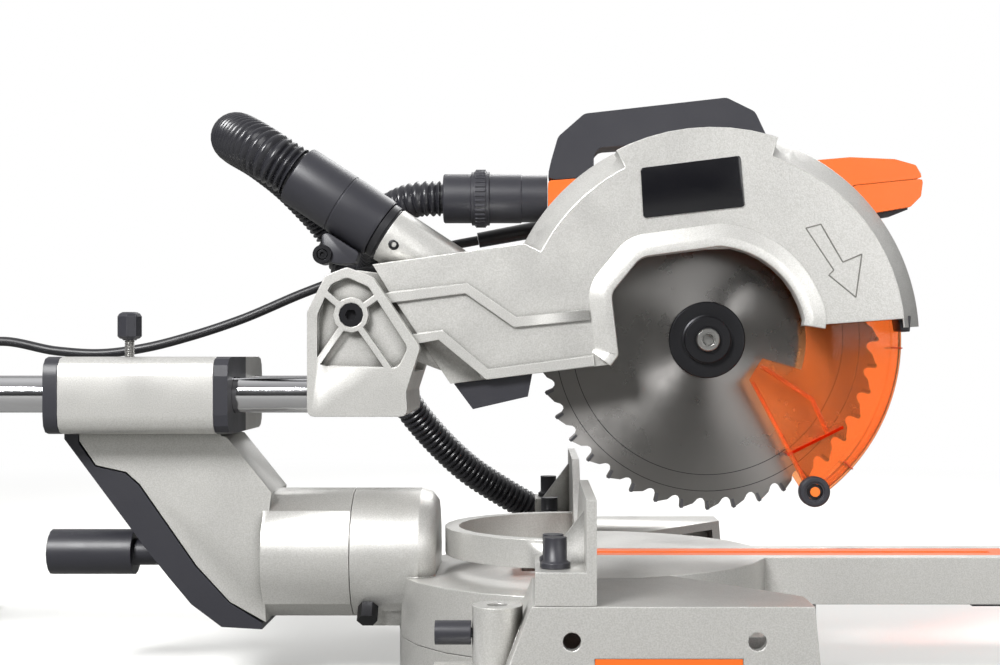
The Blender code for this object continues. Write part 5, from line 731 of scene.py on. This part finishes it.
def smoothForm(node, finish):
    """The node's own form with its turned and rounded faces shaded smooth."""
    mesh = bmesh.new()
    mesh.from_mesh(frame["nodes"][node].data)
    bmesh.ops.remove_doubles(mesh, verts=mesh.verts, dist=0.005 * mm)
    bmesh.ops.dissolve_limit(mesh, angle_limit=math.radians(0.5), verts=mesh.verts, edges=mesh.edges)
    words = node.split("_")
    name = words[0] + "".join(word.title() for word in words[1:])
    return asPiece(name, mesh, finish, bodyOf[node], [node], sharp=34)


def halfForm(name, node, finish, side):
    """The part of a node on one side of the saw's middle plane."""
    mesh = bmesh.new()
    mesh.from_mesh(frame["nodes"][node].data)
    bmesh.ops.remove_doubles(mesh, verts=mesh.verts, dist=0.005 * mm)
    cut = bmesh.ops.bisect_plane(mesh, geom=mesh.verts[:] + mesh.edges[:] + mesh.faces[:], dist=0.001 * mm,
                                 plane_co=(0, side * 0.02 * mm, 0), plane_no=(0, -side, 0), clear_outer=True)
    edges = [g for g in cut["geom_cut"] if isinstance(g, bmesh.types.BMEdge)]
    bmesh.ops.holes_fill(mesh, edges=edges)
    return asPiece(name, mesh, finish, bodyOf[node], [node], sharp=20)


for finish, nodes in nodeFinish.items():
    for node in nodes:
        for place in frame["nodes"][node].material_slots:
            place.material = materials[finish]
        if node not in replaced and node not in ("plug", "hose_connector", "housing_cap_front"):
            smoothForm(node, finish)
halfForm("housingCapNear", "housing_cap_front", "blackNylon", -1)
halfForm("housingCapFar", "housing_cap_front", "castAluminium", 1)
print("carried-over nodes finished")


# Floor, background and light
def makeStage():
    floorMesh = bmesh.new()
    bmesh.ops.create_grid(floorMesh, x_segments=1, y_segments=1, size=12)
    data = bpy.data.meshes.new("floor")
    floorMesh.to_mesh(data)
    floorMesh.free()
    floor = bpy.data.objects.new("floor", data)
    bpy.context.collection.objects.link(floor)
    floor.location.z = -0.6 * mm
    paper = bpy.data.materials.new("floorPaper")
    paper.use_nodes = True
    paper.node_tree.nodes.clear()
    place = addNode(paper, "TexCoord").outputs["Object"]
    fibre = addNode(paper, "TexNoise", {"Vector": place, "Scale": 400, "Detail": 3})
    tone = addNode(paper, "Mix", {0: fibre.outputs["Fac"], 6: colour("F4F4F2"), 7: colour("EFEFED")},
                   data_type="RGBA")
    rays = addNode(paper, "LightPath")
    bounced = addNode(paper, "Mix", {
        0: rays.outputs["Is Camera Ray"], 6: colour("8E8E8C"), 7: tone.outputs[2]}, data_type="RGBA")
    matt = addNode(paper, "BsdfDiffuse", {"Color": bounced.outputs[2]})
    away = addNode(paper, "VectorMath", {0: place}, operation="LENGTH")
    fade = addNode(paper, "MapRange", {"Value": away.outputs["Value"], "From Min": 0.9, "From Max": 2.4},
                   interpolation_type="SMOOTHSTEP")
    shown = addNode(paper, "Math", {0: rays.outputs["Is Camera Ray"], 1: rays.outputs["Is Transmission Ray"]},
                    operation="MAXIMUM")
    share = addNode(paper, "Math", {0: fade.outputs[0], 1: shown.outputs[0]}, operation="MULTIPLY")
    white = addNode(paper, "Emission", {"Color": (1, 1, 1, 1), "Strength": 1})
    both = addNode(paper, "MixShader", {0: share.outputs[0], 1: matt.outputs[0], 2: white.outputs[0]})
    addNode(paper, "OutputMaterial", {"Surface": both.outputs[0]})
    data.materials.append(paper)


def makeLight():
    world = bpy.data.worlds.new("studio")
    bpy.context.scene.world = world
    world.use_nodes = True
    world.node_tree.nodes.clear()
    rays = addNode(world, "LightPath")
    way = addNode(world, "TexCoord").outputs["Generated"]
    parts = addNode(world, "SeparateXYZ", {0: way})
    height = addNode(world, "MapRange", {"Value": parts.outputs["Z"], "From Min": -0.2, "From Max": 0.9,
                                         "To Min": 0.10, "To Max": 0.85}, interpolation_type="SMOOTHSTEP")
    front = addNode(world, "MapRange", {"Value": parts.outputs["Y"], "From Min": -1, "From Max": 0.4,
                                        "To Min": 0.25, "To Max": 1.0}, interpolation_type="SMOOTHSTEP")
    strength = addNode(world, "Math", {0: height.outputs[0], 1: front.outputs[0]}, operation="MULTIPLY")
    glow = addNode(world, "Background", {"Color": (1, 1, 1, 1), "Strength": strength.outputs[0]})
    white = addNode(world, "Background", {"Color": (1, 1, 1, 1), "Strength": 1.0})
    which = addNode(world, "Math", {0: rays.outputs["Is Camera Ray"], 1: rays.outputs["Is Transmission Ray"]},
                    operation="MAXIMUM")
    both = addNode(world, "MixShader", {0: which.outputs[0], 1: glow.outputs[0], 2: white.outputs[0]})
    addNode(world, "OutputWorld", {"Surface": both.outputs[0]})
    lamps = [
        ("keyLight", (-0.9, -1.7, 1.6), 0.7, 80),
        ("fillLight", (1.4, -1.8, 0.8), 1.2, 18),
        ("rimLight", (0.5, 1.6, 1.6), 1.2, 22),
    ]
    for name, place, size, power in lamps:
        lamp = bpy.data.lights.new(name, "AREA")
        lamp.energy = power
        lamp.size = size
        made = bpy.data.objects.new(name, lamp)
        bpy.context.collection.objects.link(made)
        made.location = place
        made.rotation_euler = (Vector((0.05, 0, 0.2)) - Vector(place)).to_track_quat("-Z", "Y").to_euler()


makeStage()
makeLight()
bpy.context.scene.view_settings.view_transform = "Standard"
print("stage set")
